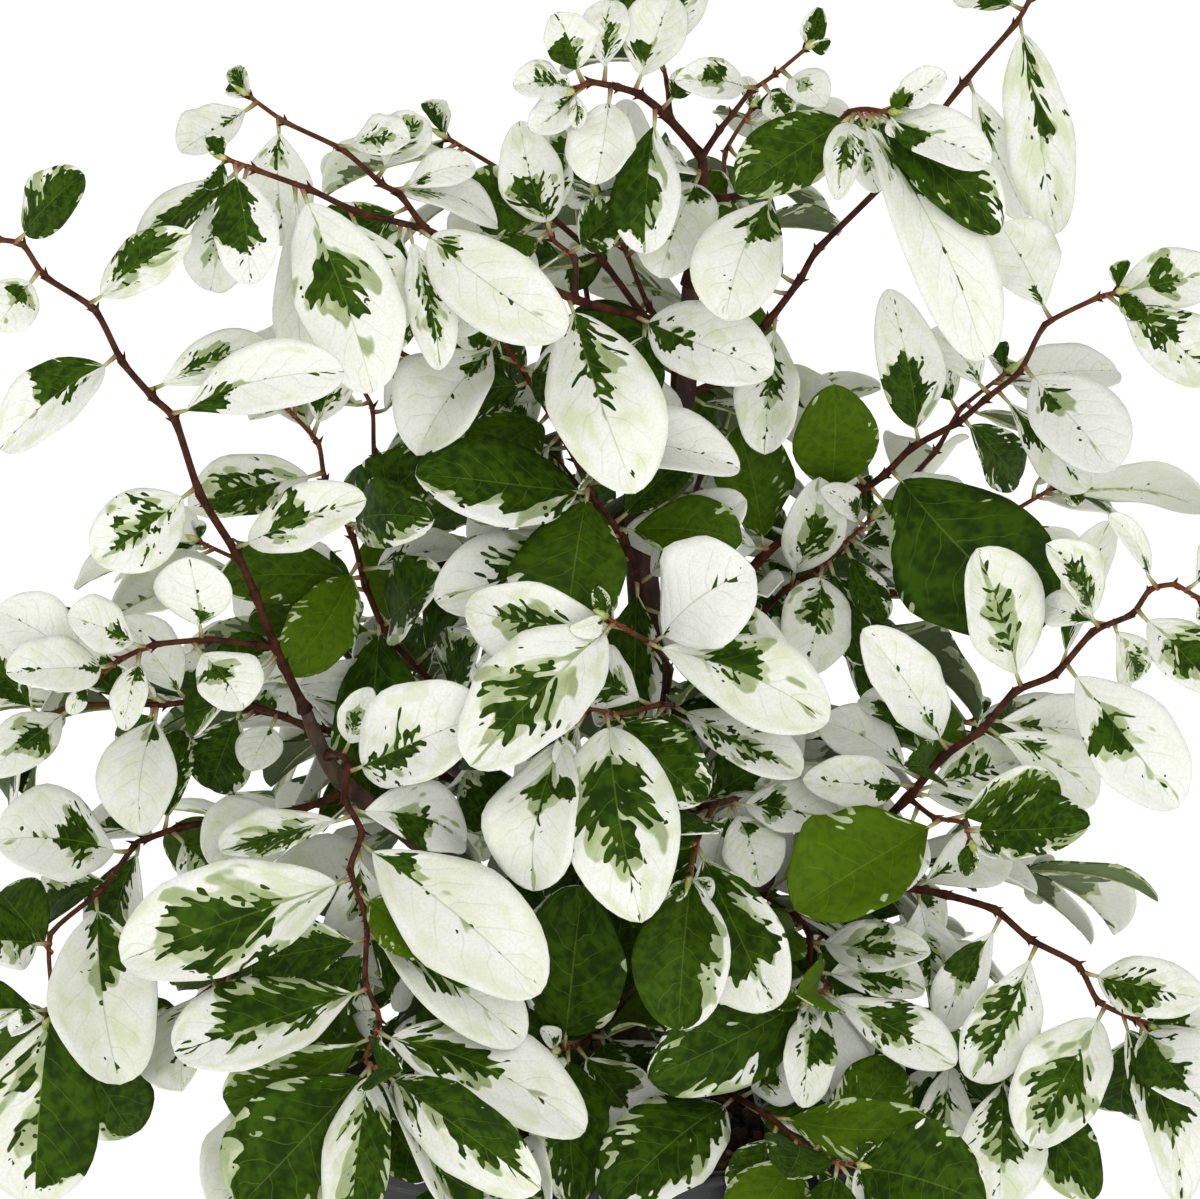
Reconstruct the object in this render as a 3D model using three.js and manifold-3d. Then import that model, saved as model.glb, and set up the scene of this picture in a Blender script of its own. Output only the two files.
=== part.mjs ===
// A snow bush grown as a bonsai, in its oval pot: millimetres, +Z up, front towards -Y,
// origin at the centre of the pot's flat underside.

import * as THREE from 'three';
import { mergeVertices } from 'three/addons/utils/BufferGeometryUtils.js';
import Module from 'manifold-3d';

const wasm = await Module();
wasm.setup();

// Driving dimensions
const POT_LENGTH = 150;
const POT_DEPTH = 112;
const POT_HEIGHT = 57;
const POT_WALL = 6;
const POT_FLOOR = 9;
const POT_SIDES = 30;
const LIP_HEIGHT = 8;
const LIP_PROUD = 4;
const FOOT_LENGTH = 122;
const SOIL_TOP = 50;
const SOIL_CROWN = 3;
const DRAIN_HOLE = 12;
const DRAIN_SPACING = 56;
const DRAIN_MESH = 24;
const DRAIN_MESH_THICK = 1.2;
const GAP = 0.3;
const ROOT_DEPTH = 22;
const LEAF_THICK = 0.8;
const STALK = 3.2;
const STALK_THICK = 2;
const LEAF_SPACING = 1.7;
const CLEAR = 0.4;

// How the front of the bush is seen: across and up are measured in the plane through VIEW_POINT
// that faces the viewer, and back is the distance behind the pot's middle line.
const VIEW_POINT = new THREE.Vector3(-8, 0, 160);
const VIEW_DISTANCE = 1500;
const VIEW_TILT = THREE.MathUtils.degToRad(15);
const TO_VIEWER = new THREE.Vector3(0, -Math.cos(VIEW_TILT), Math.sin(VIEW_TILT));
const VIEW_UP = new THREE.Vector3(0, Math.sin(VIEW_TILT), Math.cos(VIEW_TILT));
const VIEWER = VIEW_POINT.clone().addScaledVector(TO_VIEWER, VIEW_DISTANCE);

function seen([across, up, back]) {
  const through = VIEW_POINT.clone().addScaledVector(VIEW_UP, up);
  through.x += across;
  const reach = (back - VIEWER.y) / (through.y - VIEWER.y);
  return VIEWER.clone().lerp(through, reach);
}

// The wood that carries the leafy stems: route as seen (across, up, back), diameters at its ends
const TRUNK = { route: [[8, -104, 0], [9, -85, 1], [8, -60, 2], [7, -40, 3], [10, -20, 3], [8, 15, 3],
  [11, 26, 4], [17, 40, 3], [18, 63, 0]], thick: [14, 4.4] };
const LIMBS = {
  left: { route: [[9, -90, 1], [-8, -70, -6], [-30, -53, -14], [-52, -36, -24], [-59, -22, -30]],
    thick: [9, 3.6] },
  right: { route: [[8, -75, 1], [20, -64, -2], [36, -56, -8], [50, -51, -12]], thick: [8, 3.6] },
  back_left: { route: [[8, -70, 2], [-8, -52, 18], [-26, -36, 36], [-38, -26, 46]], thick: [8, 3.6] },
  back_right: { route: [[9, -55, 2], [22, -38, 16], [36, -22, 32], [44, -12, 42]], thick: [7, 3.4] },
};

// Surface roots: compass angle in degrees, reach and thickness where they leave the trunk
const ROOTS = [[20, 24, 7], [110, 20, 6], [170, 26, 7], [250, 22, 6.5]];

// Stems of the front, as seen. Each stem is a zig-zag of nodes (across, up, back); each leaf is
// [node, tip across, tip up, tip back, width, green share of the blade]. Stems that name the
// same spray grow out of its first one and are one piece with it.
const STEMS = [
  { spray: 'spray_leader', thick: [4, 2],
    route: [[18, 63, 0], [20.5, 85, -4], [20, 89, -5], [13, 97, -9], [8, 101, -14], [3.5, 102.5, -18],
      [-2, 103.5, -22], [-5, 102, -25]],
    leaves: [[6, -9, 117, -24, 10, 0.6], [7, -17, 103, -32, 9, 0.05], [7, -14, 94, -33, 7, 0.05],
      [5, -1, 83, -30, 13, 0.05], [5, 2, 120, -14, 9, 0.05], [4, 14, 121, -10, 12, 0.35],
      [3, 19, 106, -14, 5, 0.8], [3, 9, 69, -28, 13, 0.65], [1, 12, 65, -22, 15, 0.35]] },
  { spray: 'spray_leader', thick: [2.2, 1.4],
    route: [[14, 96, -8], [13.5, 103, -4], [12, 109, 0]],
    leaves: [[2, 20, 126, 6, 9, 0.2], [2, 3, 122, 8, 10, 0.5]] },
  { spray: 'spray_leader', thick: [2.4, 1.4],
    route: [[20, 88, -5], [24, 94, -7], [26.5, 97, -8], [30, 101.5, -10], [35, 105, -12], [41, 110, -14]],
    leaves: [[3, 15.5, 104, -22, 8, 0.25], [4, 45, 99, -22, 8, 0.05], [3, 38, 96, -22, 6, 0.5]] },
  { spray: 'spray_leader', thick: [2.8, 1.8],
    route: [[20, 80, -3], [34, 82, -16], [50, 97.5, -30], [57.5, 97.5, -36]],
    leaves: [[1, 25, 56, -34, 17, 0.5], [2, 27.5, 82, -44, 15, 0.85], [3, 69, 105, -42, 7, 0.4],
      [3, 78, 87.5, -52, 11, 0.5], [3, 80, 74, -44, 13, 0.8], [3, 77, 48, -54, 16, 0.15],
      [3, 47.5, 80, -52, 7, 0.2], [3, 56, 82, -42, 7, 0.05]] },
  { spray: 'spray_right_high', thick: [3, 1.8],
    route: [[17, 41, 3], [23, 43.5, 2], [34, 56, 4], [40, 64, 6], [43.5, 70, 8], [57.5, 84, 12],
      [72.5, 103, 16], [83, 115, 18], [86, 120, 20], [89, 125, 20]],
    leaves: [[2, 33, 29, -14, 12, 0.05], [7, 91, 73, 6, 13, 0.02], [6, 86, 76, 26, 10, 0.02],
      [9, 104, 136, 14, 12, 0.3], [9, 84, 140, 26, 12, 0.2],
      [7, 70, 126, 30, 12, 0.4], [5, 50, 96, 24, 12, 0.15]] },
  { spray: 'spray_left_high', thick: [3.2, 1.8],
    route: [[18, 54, 0], [8, 56.5, -8], [-5, 60, -16], [-20, 67, -24], [-35, 74, -30],
      [-48.5, 77.5, -34], [-58, 82, -38], [-69, 86, -42], [-74.5, 88, -45]],
    leaves: [[1, 34, 46, -26, 16, 0.2], [2, 7, 22, -40, 21, 0.15], [4, -7, 53, -50, 16, 0.2],
      [4, -32, 46, -42, 9, 0.05], [3, -29, 53, -32, 10, 0.6], [4, -42, 50, -22, 9, 0.9],
      [5, -41, 53, -34, 13, 0.05], [6, -45, 42, -54, 19, 0.35], [6, -60, 46, -32, 9, 0.05],
      [8, -70, 63, -56, 12, 0.65], [8, -92, 70, -54, 11, 0.6], [7, -78, 61, -38, 12, 0.05]] },
  { spray: 'spray_left_high', thick: [2.4, 1.6],
    route: [[-35, 74, -30], [-40, 81, -27], [-43.5, 83, -26], [-51.5, 90, -22], [-63, 95.5, -18],
      [-70, 100.5, -15]],
    leaves: [[5, -84, 90, -26, 10, 0.05], [4, -63, 71, -28, 13, 0.15], [3, -38, 92, -30, 9, 0.05],
      [2, -36, 97, -18, 10, 0.05], [1, -25, 87, -22, 8, 0.2], [1, -20, 76, -26, 12, 0.1]] },
  { spray: 'spray_left_high', thick: [2.2, 1.4],
    route: [[-5, 60, -16], [-5, 68, -12], [-9.5, 72, -10], [-11.6, 77.6, -8]],
    leaves: [[3, -28, 82, -18, 14, 0.95], [3, -7.5, 89, -12, 6, 0.8], [3, -16, 95, -6, 12, 0.3],
      [2, -20, 68, -18, 7, 0.9], [1, 5, 78, -16, 11, 0.7]] },
  { spray: 'spray_crown_inner', thick: [2.4, 1.4],
    route: [[17.5, 50, 2], [10, 58, 10], [5, 70, 14], [0, 80, 16]],
    leaves: [[1, -6, 48, 18, 14, 0.8], [2, -12, 66, 20, 13, 0.6], [2, 16, 76, 24, 12, 0.4],
      [3, -10, 96, 16, 12, 0.5], [3, 6, 100, 22, 11, 0.2]] },
  { spray: 'spray_centre_left', thick: [2.8, 1.6],
    route: [[9, 4, 3], [0, 18, 0], [-7, 32, -4], [-15, 45, -9], [-21, 54, -12]],
    leaves: [[4, -37, 30, -30, 18, 0.15], [3, 3, 42, -26, 13, 0.7], [4, -16, 72, -8, 11, 0.3],
      [3, -36, 56, -4, 13, 0.8], [2, -26, 16, -12, 15, 0.6], [1, -22, 26, 8, 13, 1]] },
  { spray: 'spray_centre', thick: [2.8, 1.6],
    route: [[9, -8, 3], [8, 2, -8], [5, 12, -15], [-1, 20, -20], [-5, 28, -22], [-4, 33, -23]],
    leaves: [[3, -36, 26, -36, 19, 0.85], [3, -7, -7, -40, 22, 1], [2, -33, 0, -28, 17, 0.15],
      [5, -9, 53, -30, 11, 0.85], [4, 12, 34, -32, 12, 1], [4, 28, 26, -22, 14, 0.15],
      [1, 29, 20, -20, 13, 0.2], [2, 28, 12, -18, 13, 0.9], [1, 7, -27, -14, 13, 0.9]] },
  { spray: 'spray_right', thick: [3.2, 1.8],
    route: [[9, -14, 3], [18, -8, 6], [32, 8, 7], [44.6, 18.6, 6], [52, 21.6, 5], [57, 25, 4],
      [62.4, 30.4, 2], [71.6, 35.4, 0], [77, 40, -2], [84, 45.6, -5], [89, 55, -8], [99.6, 60.4, -12],
      [103, 61.4, -14]],
    leaves: [[12, 123, 44, -26, 14, 0.3], [10, 80, 75, -2, 15, 0.1], [9, 103, 26, -22, 18, 0.05],
      [8, 66, 54, 6, 10, 0.05], [6, 58, 61, -10, 12.4, 0.6], [7, 84, 24, 12, 11, 0.9],
      [8, 98, 22, -4, 10, 0.3], [5, 88, -5, -26, 29, 1], [3, 47, 42, -6, 16, 1], [2, 28, 34, 4, 15, 1],
      [4, 36, 46, 16, 13, 0.4], [12, 124, 66, -8, 12, 0.35], [2, 5, 13, -6, 12, 0.45]] },
  { spray: 'spray_right_inner', thick: [2.6, 1.4],
    route: [[8.5, -28, 3], [24, -12, 12], [37, 2, 14], [43.6, 6, 12], [47.6, 10, 10], [54, 16, 9]],
    leaves: [[3, 41, -15, -8, 14, 0.25], [4, 57, -4, 2, 7, 0.9], [3, 53, -13, 4, 8, 0.9],
      [5, 44, 22, -4, 6, 0.5], [2, 44, 24, -4, 12, 0.15], [2, 35, -11, -10, 6, 0.5],
      [2, 6, 9, -14, 10, 0.5], [5, 74, 22, 20, 13, 0.6], [4, 72, 4, 24, 14, 0.35],
      [1, 40, -18, 14, 14, 0.8]] },
  { spray: 'spray_right_mid', thick: [3.2, 1.8],
    route: [[50, -51, -12], [61.6, -39.6, -20], [68.6, -31.4, -22], [76, -26.4, -24], [83, -18.4, -26],
      [91, -15, -29], [98.6, -6.4, -32], [106.4, -3, -35], [110, 2, -37], [115, 3, -39], [120, 0, -41]],
    leaves: [[4, 75.6, 10, -38, 17, 0.02], [5, 102, 16, -20, 8, 0.5], [6, 90, 11, -44, 10, 0.2],
      [8, 102, 17, -46, 5, 0.3], [6, 88, -1, -22, 7, 0.5], [6, 107, -17, -24, 9, 0.05],
      [7, 123, -18, -50, 12, 0.4], [5, 115.6, -41.6, -46, 17, 0.35], [3, 99.4, -40, -20, 12, 0.03],
      [2, 53, -6, -32, 13, 0.05], [10, 138, -6, -48, 10, 0.3], [10, 131, 14, -50, 9, 0.5],
      [1, 84, -31, -12, 13, 0.15], [1, 41, -36, -30, 10, 0.5], [1, 44, -24, -14, 12, 0.05],
      [2, 52, -19, -10, 9, 0.6], [3, 96.6, -26, -10, 12, 0.15]] },
  { spray: 'spray_right_mid', thick: [2, 1.4],
    route: [[61.6, -39.6, -20], [66.8, -43.6, -28], [72.6, -44.6, -32], [74, -48, -34]],
    leaves: [[1, 39.4, -61, -48, 22, 1], [2, 98, -45, -48, 14, 0.8], [1, 92, -37, -30, 11, 0.9]] },
  { spray: 'spray_right_low', thick: [3, 1.8],
    route: [[44.5, -53.3, -10.7], [60.4, -57.4, -20], [69, -59, -24], [79, -62, -30], [86, -68, -34],
      [95.6, -73, -38], [99.6, -80.4, -40], [107, -84, -43], [109.4, -85, -44]],
    leaves: [[1, 82, -50, -14, 12, 0.05], [4, 74.6, -96, -48, 14, 0.2], [3, 68, -86, -34, 10, 0.5],
      [5, 121, -80, -54, 12, 0.3], [6, 86, -109, -58, 17, 0.25], [8, 121, -101, -60, 14, 0.6],
      [7, 104, -103, -34, 15, 0.7], [8, 133, -88, -40, 12, 0.4], [8, 117, -120, -46, 13, 0.5],
      [1, 66, -77, -14, 12, 0.1]] },
  { spray: 'spray_right_droop', thick: [2.8, 1.6],
    route: [[31, -58, -6.5], [38, -62, -14], [42, -67, -20], [42, -73, -26], [45.6, -77.4, -31],
      [42, -80, -35]],
    leaves: [[2, 66, -70.6, -38, 10, 0.45], [3, 65, -78, -30, 11, 0.3], [4, 71, -92, -48, 12, 0.45],
      [5, 41, -101, -52, 10, 0.5], [5, 9.6, -96, -54, 19, 0.75], [1, 55, -66, 4, 13, 0.7],
      [3, 20, -76, -24, 14, 0.6]] },
  { spray: 'spray_front', thick: [2.8, 1.6],
    route: [[9, -24, 3], [13, -19, -10], [14, -14, -22], [11, -9.4, -33], [6, -6.4, -40],
      [1.6, -3.8, -43]],
    leaves: [[3, 30, 6, -46, 22, 0.2], [5, -26, -33, -64, 20, 0.25], [4, -27, -2, -36, 16, 0.02],
      [3, 45.6, -24, -54, 17, 0.25]] },
  { spray: 'spray_front', thick: [2.2, 1.4],
    route: [[13, -19, -10], [15, -21, -24], [12, -21, -34], [4, -23, -41], [-2, -22, -45],
      [-8, -26, -48]],
    leaves: [[1, 40, -34, -42, 12, 0.1], [2, -6, -13, -30, 13, 0.3], [3, 21, -40, -48, 15, 0.7],
      [4, -14, -42, -44, 13, 0.5], [3, 8, -64, -66, 22, 0.35], [5, -14, -58, -62, 20, 0.35]] },
  { spray: 'spray_front_low', thick: [2.8, 1.6],
    route: [[7.4, -46, 3], [18, -42, -10], [27, -40, -22], [23, -41, -32], [19.6, -47.6, -40],
      [18, -55, -45]],
    leaves: [[5, 15.6, -86, -60, 18, 0.9], [4, 34.4, -82.4, -56, 19, 0.6], [2, 32, -57, -36, 12, 0.3],
      [1, 38, -30, -2, 13, 0.6], [2, 48, -44, -34, 13, 0.4], [1, 38, -52, -14, 14, 0.1]] },
  { spray: 'spray_low_centre', thick: [2.8, 1.6],
    route: [[8.4, -78, 1], [2, -84, -14], [-4, -89, -28], [-8, -90, -36]],
    leaves: [[3, -4, -58, -42, 21, 1], [3, -5, -121, -58, 15, 0.8], [2, 12, -109, -40, 14, 0.6],
      [2, -26, -80, -30, 14, 0.7], [1, -20, -100, -18, 14, 0.9], [1, 5, -58, -20, 14, 1],
      [1, 15, -101, -12, 13, 0.8]] },
  { spray: 'spray_low_right', thick: [2.8, 1.6],
    route: [[8.5, -92, 1], [18, -97, -16], [26, -99, -32], [33.4, -103, -45], [40, -108.6, -52],
      [46, -112.4, -56], [51, -113, -58]],
    leaves: [[2, 1.6, -121, -64, 20, 0.7], [3, 66, -105, -58, 13, 0.95], [6, 77, -121, -72, 22, 1],
      [5, 44, -136, -72, 14, 0.95], [4, 28, -130, -66, 16, 1], [2, 40, -92, -40, 13, 0.3],
      [6, 62, -134, -66, 14, 0.6], [4, 60, -93, -44, 14, 0.95], [3, 29, -120, -40, 13, 0.85]] },
  { spray: 'spray_low_outer', thick: [2.8, 1.6],
    route: [[37, -55.7, -8.3], [46, -68, -2], [59, -82, -12], [69, -90, -28], [82, -94, -41]],
    leaves: [[4, 80, -121, -52, 17, 0.4], [3, 68, -116, -42, 11, 0.05], [4, 99, -120, -46, 13, 0.8],
      [2, 50, -108, -28, 14, 0.5], [1, 66, -72, 6, 13, 0.4]] },
  { spray: 'spray_left_long', thick: [3.4, 1.8],
    route: [[-59, -22, -30], [-63.4, -13, -34], [-65, -9.4, -36], [-69, 1, -40], [-72.6, 9, -42],
      [-80, 21, -46], [-85, 36, -48], [-89.4, 40.4, -50], [-95.6, 47.6, -51], [-101, 58, -52],
      [-111, 64.6, -53], [-115.4, 71, -54], [-120, 72, -55], [-124, 73, -56]],
    leaves: [[11, -104, 85, -64, 11, 0.85], [10, -121, 54, -62, 10, 0.5], [9, -82.6, 73, -62, 10, 0.4],
      [8, -120, 30, -62, 12, 0.45], [6, -51, 45.6, -62, 13, 0.5], [7, -67, 52, -38, 9, 0.05],
      [5, -101, 8, -58, 15, 0.08], [4, -48, 20.4, -58, 12, 0.35], [13, -140, 84, -60, 9, 0.3],
      [13, -142, 64, -66, 10, 0.4]] },
  { spray: 'spray_left_long', thick: [2.4, 1.6],
    route: [[-65, -9.4, -36], [-69, -9, -40], [-78, -8, -46], [-89, -9, -50], [-96, -12, -53],
      [-99.6, -15, -55], [-102, -16, -56]],
    leaves: [[2, -82.4, 8.4, -54, 14.4, 0.2], [3, -106, -3, -62, 11, 0.15], [6, -121, -2, -54, 13, 0.05],
      [4, -118, -14, -70, 12, 0.35], [2, -71.4, -21.6, -58, 13, 0.4], [3, -95, -26, -64, 7, 0.3]] },
  { spray: 'spray_left_mid', thick: [2.6, 1.6],
    route: [[-57, -26.5, -28], [-63, -23.5, -22], [-70, -21, -22], [-79, -20, -25], [-87, -21, -28],
      [-104, -21, -33], [-110, -23, -36], [-117, -27.4, -38], [-126, -30, -41]],
    leaves: [[4, -92, -47, -42, 15, 0.25], [6, -124, -10, -36, 9, 0.7], [5, -122, -34, -46, 10, 0.5],
      [1, -70, -34, -34, 9, 0.1], [2, -78, -38, -18, 13, 0.9], [3, -66, -8, -14, 11, 0.7],
      [8, -143, -36, -46, 10, 0.4], [3, -96, -4, -14, 12, 0.4]] },
  { spray: 'spray_left_low', thick: [2.8, 1.6],
    route: [[-50, -38, -22], [-60, -42, -24], [-70, -43, -27], [-84, -45.6, -31], [-91, -48, -33],
      [-93, -49, -34], [-99.6, -58, -38], [-110, -67, -43], [-109.6, -80, -48], [-110.4, -83, -49]],
    leaves: [[5, -121, -48, -50, 19, 0.4], [6, -96, -97, -58, 20, 0.3], [4, -96, -72, -22, 13, 0.5],
      [3, -74, -58, -40, 12, 0.7], [7, -124, -68, -54, 14, 0.7], [7, -120, -58, -28, 14, 0.9],
      [9, -113, -121, -66, 24, 0.75], [8, -128, -84, -38, 12, 0.6], [9, -93, -108, -42, 16, 0.9],
      [1, -78, -52, -46, 16, 0.1], [3, -84, -26, -24, 9, 0.8], [2, -84, -55, -14, 12, 1]] },
  { spray: 'spray_left_behind', thick: [3, 1.6],
    route: [[7.6, -52, 2], [-10, -38, 6], [-28, -22, 2], [-42, -8, -4], [-47, 3, -6], [-49.4, 12.4, -8],
      [-55, 24, -12], [-56.4, 31.4, -14], [-63.4, 39, -16]],
    leaves: [[6, -82, 19, -26, 13, 0.5], [7, -50, 52, -14, 9, 0.5], [4, -76, 4, -18, 13, 1],
      [3, -70, -4, -10, 10, 0.9], [3, -33, 5, -26, 16, 0.7], [4, -27, 10, -8, 8, 0.05],
      [5, -34, 29, -20, 15, 1], [5, -34, 16, -22, 13, 0.8], [8, -74, 52, -14, 12, 0.2],
      [8, -60, 57, -6, 13, 0.6], [2, -60, -17, -12, 9, 0.05], [2, -24, -8, -22, 13, 0.6],
      [1, -28, -44, -6, 14, 0.8], [3, -46, -42, -8, 17, 1], [4, -62, -15, -8, 13, 1]] },
  { spray: 'spray_front_left', thick: [2.8, 1.6],
    route: [[-54.5, -31, -27], [-52, -31, -36], [-50.4, -33, -42], [-51, -40, -48], [-47.6, -46.6, -52],
      [-50, -54, -56], [-46.6, -64.4, -60], [-47, -76, -64], [-44, -84.4, -66], [-47, -92, -68],
      [-42, -96, -70]],
    leaves: [[2, -22.4, -22.4, -56, 19, 0.1], [1, -46, -18, -42, 7, 0.15], [5, -95.6, -71.6, -74, 21, 0.45],
      [4, -12, -77.6, -76, 22, 0.25], [7, -85, -90.4, -82, 19, 0.55], [6, -15, -88, -68, 16, 0.35],
      [8, -3, -107, -82, 20, 0.4], [10, -12, -117.4, -92, 15, 0.6], [9, -72, -121, -84, 24, 0.8],
      [8, -75, -101, -66, 16, 0.9], [10, -26, -128, -82, 12, 0.5], [10, -50, -128, -90, 13, 0.5],
      [3, -26, -48, -42, 14, 0.5], [3, -76, -50, -58, 14, 0.3], [6, -70, -72, -48, 14, 0.8]] },
];

// Stems of the sides, the back and the skirt: where they leave the wood as seen, compass angle
// and rise in degrees, length, and how green their leaves are
const FILL_STEMS = [
  { from: [-38, -26, 46], angle: 138, rise: 38, length: 68, green: 0.4 },
  { from: [-34, -29, 43], angle: 105, rise: 62, length: 94, green: 0.3 },
  { from: [-26, -36, 36], angle: 120, rise: 30, length: 80, green: 0.5 },
  { from: [-20, -41, 31], angle: 180, rise: 30, length: 94, green: 0.5 },
  { from: [-14, -47, 24], angle: 140, rise: 5, length: 80, green: 0.7 },
  { from: [44, -12, 42], angle: 50, rise: 52, length: 84, green: 0.3 },
  { from: [40, -17, 37], angle: 12, rise: 46, length: 68, green: 0.4 },
  { from: [33, -25, 29.5], angle: 80, rise: 28, length: 84, green: 0.4 },
  { from: [24, -36, 18], angle: 34, rise: 12, length: 70, green: 0.6 },
  { from: [28, -31, 23], angle: 95, rise: 8, length: 80, green: 0.6 },
  { from: [17, 46, 2.5], angle: 125, rise: 58, length: 68, green: 0.3 },
  { from: [14.5, 34, 3.5], angle: 74, rise: 56, length: 84, green: 0.3 },
  { from: [10, 23, 3.5], angle: 95, rise: 46, length: 84, green: 0.35 },
  { from: [8.4, 8, 3], angle: 150, rise: 44, length: 82, green: 0.4 },
  { from: [9, -2, 3], angle: 66, rise: 36, length: 82, green: 0.4 },
  { from: [7.5, -34, 3], angle: 110, rise: 30, length: 80, green: 0.55 },
  { from: [7.6, -50, 2.5], angle: 70, rise: 15, length: 80, green: 0.7 },
  { from: [8, -66, 2], angle: 98, rise: 2, length: 80, green: 0.75 },
  { from: [14, -69, 0], angle: 45, rise: 0, length: 84, green: 0.75 },
  { from: [-4, -75, -5], angle: 150, rise: 0, length: 84, green: 0.75 },
  { from: [42, -54, -10], angle: 30, rise: 0, length: 54, green: 0.7 },
  { from: [-24, -58, -11], angle: 200, rise: -4, length: 66, green: 0.7 },
  { from: [-12, -67, -7], angle: 244, rise: -8, length: 66, green: 0.75 },
  { from: [10, -86, 1], angle: 318, rise: -6, length: 74, green: 0.8 },
  { from: [9, -94, 0.5], angle: 272, rise: -4, length: 66, green: 0.8 },
];
const FILL_STEM_THICK = [2.8, 1.6];
const NODE_STEP = 13.5;
const ZIGZAG = 11;
const STEM_SAG = 5.5;
const STEM_TURNS = [0, 7, -7, 14, -14, 22, -22, 32, -32];
const STEM_LIFTS = [0, 7, -7, 14, -14, 24];

// Where a leaf would touch what is placed already, its tip moves along the line of sight and the
// blade turns about its midrib, in this order, until it is clear
const TIP_SHIFTS = [0, 4, -4, 8, -8, 12, -12, 17, -17, 22];
const BLADE_TURNS = [0, 22, -22];

// Repeatable draws between 0 and 1
let drawn = 20011;
function draw() {
  drawn = (drawn * 48271) % 2147483647;
  return drawn / 2147483647;
}

function between(low, high) {
  return low + (high - low) * draw();
}

// Closed solids
function toSolid(geometry) {
  const bare = geometry.clone();
  bare.deleteAttribute('normal');
  bare.deleteAttribute('uv');
  const merged = mergeVertices(bare, 1e-4);
  return new wasm.Manifold(new wasm.Mesh({
    numProp: 3,
    vertProperties: new Float32Array(merged.attributes.position.array),
    triVerts: new Uint32Array(merged.index.array),
  }));
}

// A skin over rings of equal count, closed by a fan or a point at each end
function loft(rings, startPoint, endPoint) {
  const sides = rings[0].length;
  const points = rings.flat();
  const faces = [];
  for (let ring = 0; ring + 1 < rings.length; ring += 1) {
    for (let side = 0; side < sides; side += 1) {
      const next = (side + 1) % sides;
      const a = ring * sides + side;
      const b = ring * sides + next;
      faces.push([a, b, b + sides], [a, b + sides, a + sides]);
    }
  }
  const last = (rings.length - 1) * sides;
  if (startPoint) points.push(startPoint);
  const startIndex = points.length - 1;
  for (let side = startPoint ? 0 : 1; side < (startPoint ? sides : sides - 1); side += 1) {
    faces.push([startPoint ? startIndex : 0, (side + 1) % sides, side]);
  }
  if (endPoint) points.push(endPoint);
  const endIndex = points.length - 1;
  for (let side = endPoint ? 0 : 1; side < (endPoint ? sides : sides - 1); side += 1) {
    faces.push([endPoint ? endIndex : last, last + side, last + ((side + 1) % sides)]);
  }
  const geometry = new THREE.BufferGeometry();
  geometry.setAttribute('position',
    new THREE.Float32BufferAttribute(points.flatMap((point) => point.toArray()), 3));
  geometry.setIndex(faces.flat());
  return toSolid(geometry);
}

// A tapering round branch through its nodes, flat at the start, with a short pointed end
function branch(route, thick, sides, grown = 0) {
  const rings = [];
  const last = route.length - 1;
  let across = new THREE.Vector3(0, 0, 1);
  const ahead = new THREE.Vector3();
  for (let node = 0; node <= last; node += 1) {
    ahead.subVectors(route[Math.min(node + 1, last)], route[Math.max(node - 1, 0)]).normalize();
    across = across.clone().addScaledVector(ahead, -across.dot(ahead));
    if (across.length() < 0.3) across.set(1, 0, 0).addScaledVector(ahead, -ahead.x);
    across.normalize();
    const over = new THREE.Vector3().crossVectors(ahead, across);
    const radius = THREE.MathUtils.lerp(thick[0], thick[1], node / last) / 2 + grown;
    rings.push(Array.from({ length: sides }, (_, side) => {
      const turn = (2 * Math.PI * side) / sides;
      return route[node].clone()
        .addScaledVector(across, radius * Math.cos(turn))
        .addScaledVector(over, radius * Math.sin(turn));
    }));
  }
  const end = route[last].clone().addScaledVector(ahead, thick[1] * 0.8 + grown);
  return loft(rings, null, end);
}

// One leaf: a short stalk out of the stem's middle, then a blade that is an arched oval with a
// keel under its midrib. The outline is half the width times outline(t), t from base to tip.
const STATIONS = [0.28, 0.76];
const LARGE_STATIONS = [0.22, 0.55, 0.85];

function outline(t) {
  return Math.sin(Math.PI * t ** 0.92) ** 0.62;
}

function leafFrame(leaf, tip, turn) {
  const along = new THREE.Vector3().subVectors(tip, leaf.base);
  const length = along.length();
  along.normalize();
  const face = leaf.face.clone().addScaledVector(along, -leaf.face.dot(along)).normalize();
  face.applyAxisAngle(along, THREE.MathUtils.degToRad(leaf.roll + turn));
  const side = new THREE.Vector3().crossVectors(face, along);
  const stalk = leaf.base.clone().addScaledVector(along, leaf.stemRadius + STALK);
  return { along, length, face, side, stalk, tip };
}

function midrib(leaf, frame, t) {
  const rise = 4 * t * (1 - t) * frame.length;
  return frame.stalk.clone().lerp(frame.tip, t)
    .addScaledVector(frame.face, leaf.arch * rise)
    .addScaledVector(frame.side, leaf.sway * rise);
}

function bladeRing(leaf, frame, t) {
  const middle = midrib(leaf, frame, t);
  const half = (leaf.width / 2) * outline(t);
  const lift = leaf.cup * half;
  return [
    middle.clone().addScaledVector(frame.side, half).addScaledVector(frame.face, lift),
    middle.clone().addScaledVector(frame.side, -half).addScaledVector(frame.face, lift),
    middle.clone().addScaledVector(frame.face, -LEAF_THICK),
  ];
}

function stalkRing(frame) {
  return [Math.PI / 6, 5 * Math.PI / 6, 3 * Math.PI / 2].map((turn) => frame.stalk.clone()
    .addScaledVector(frame.side, (STALK_THICK / 2) * Math.cos(turn))
    .addScaledVector(frame.face, (STALK_THICK / 2) * Math.sin(turn)));
}

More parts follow.
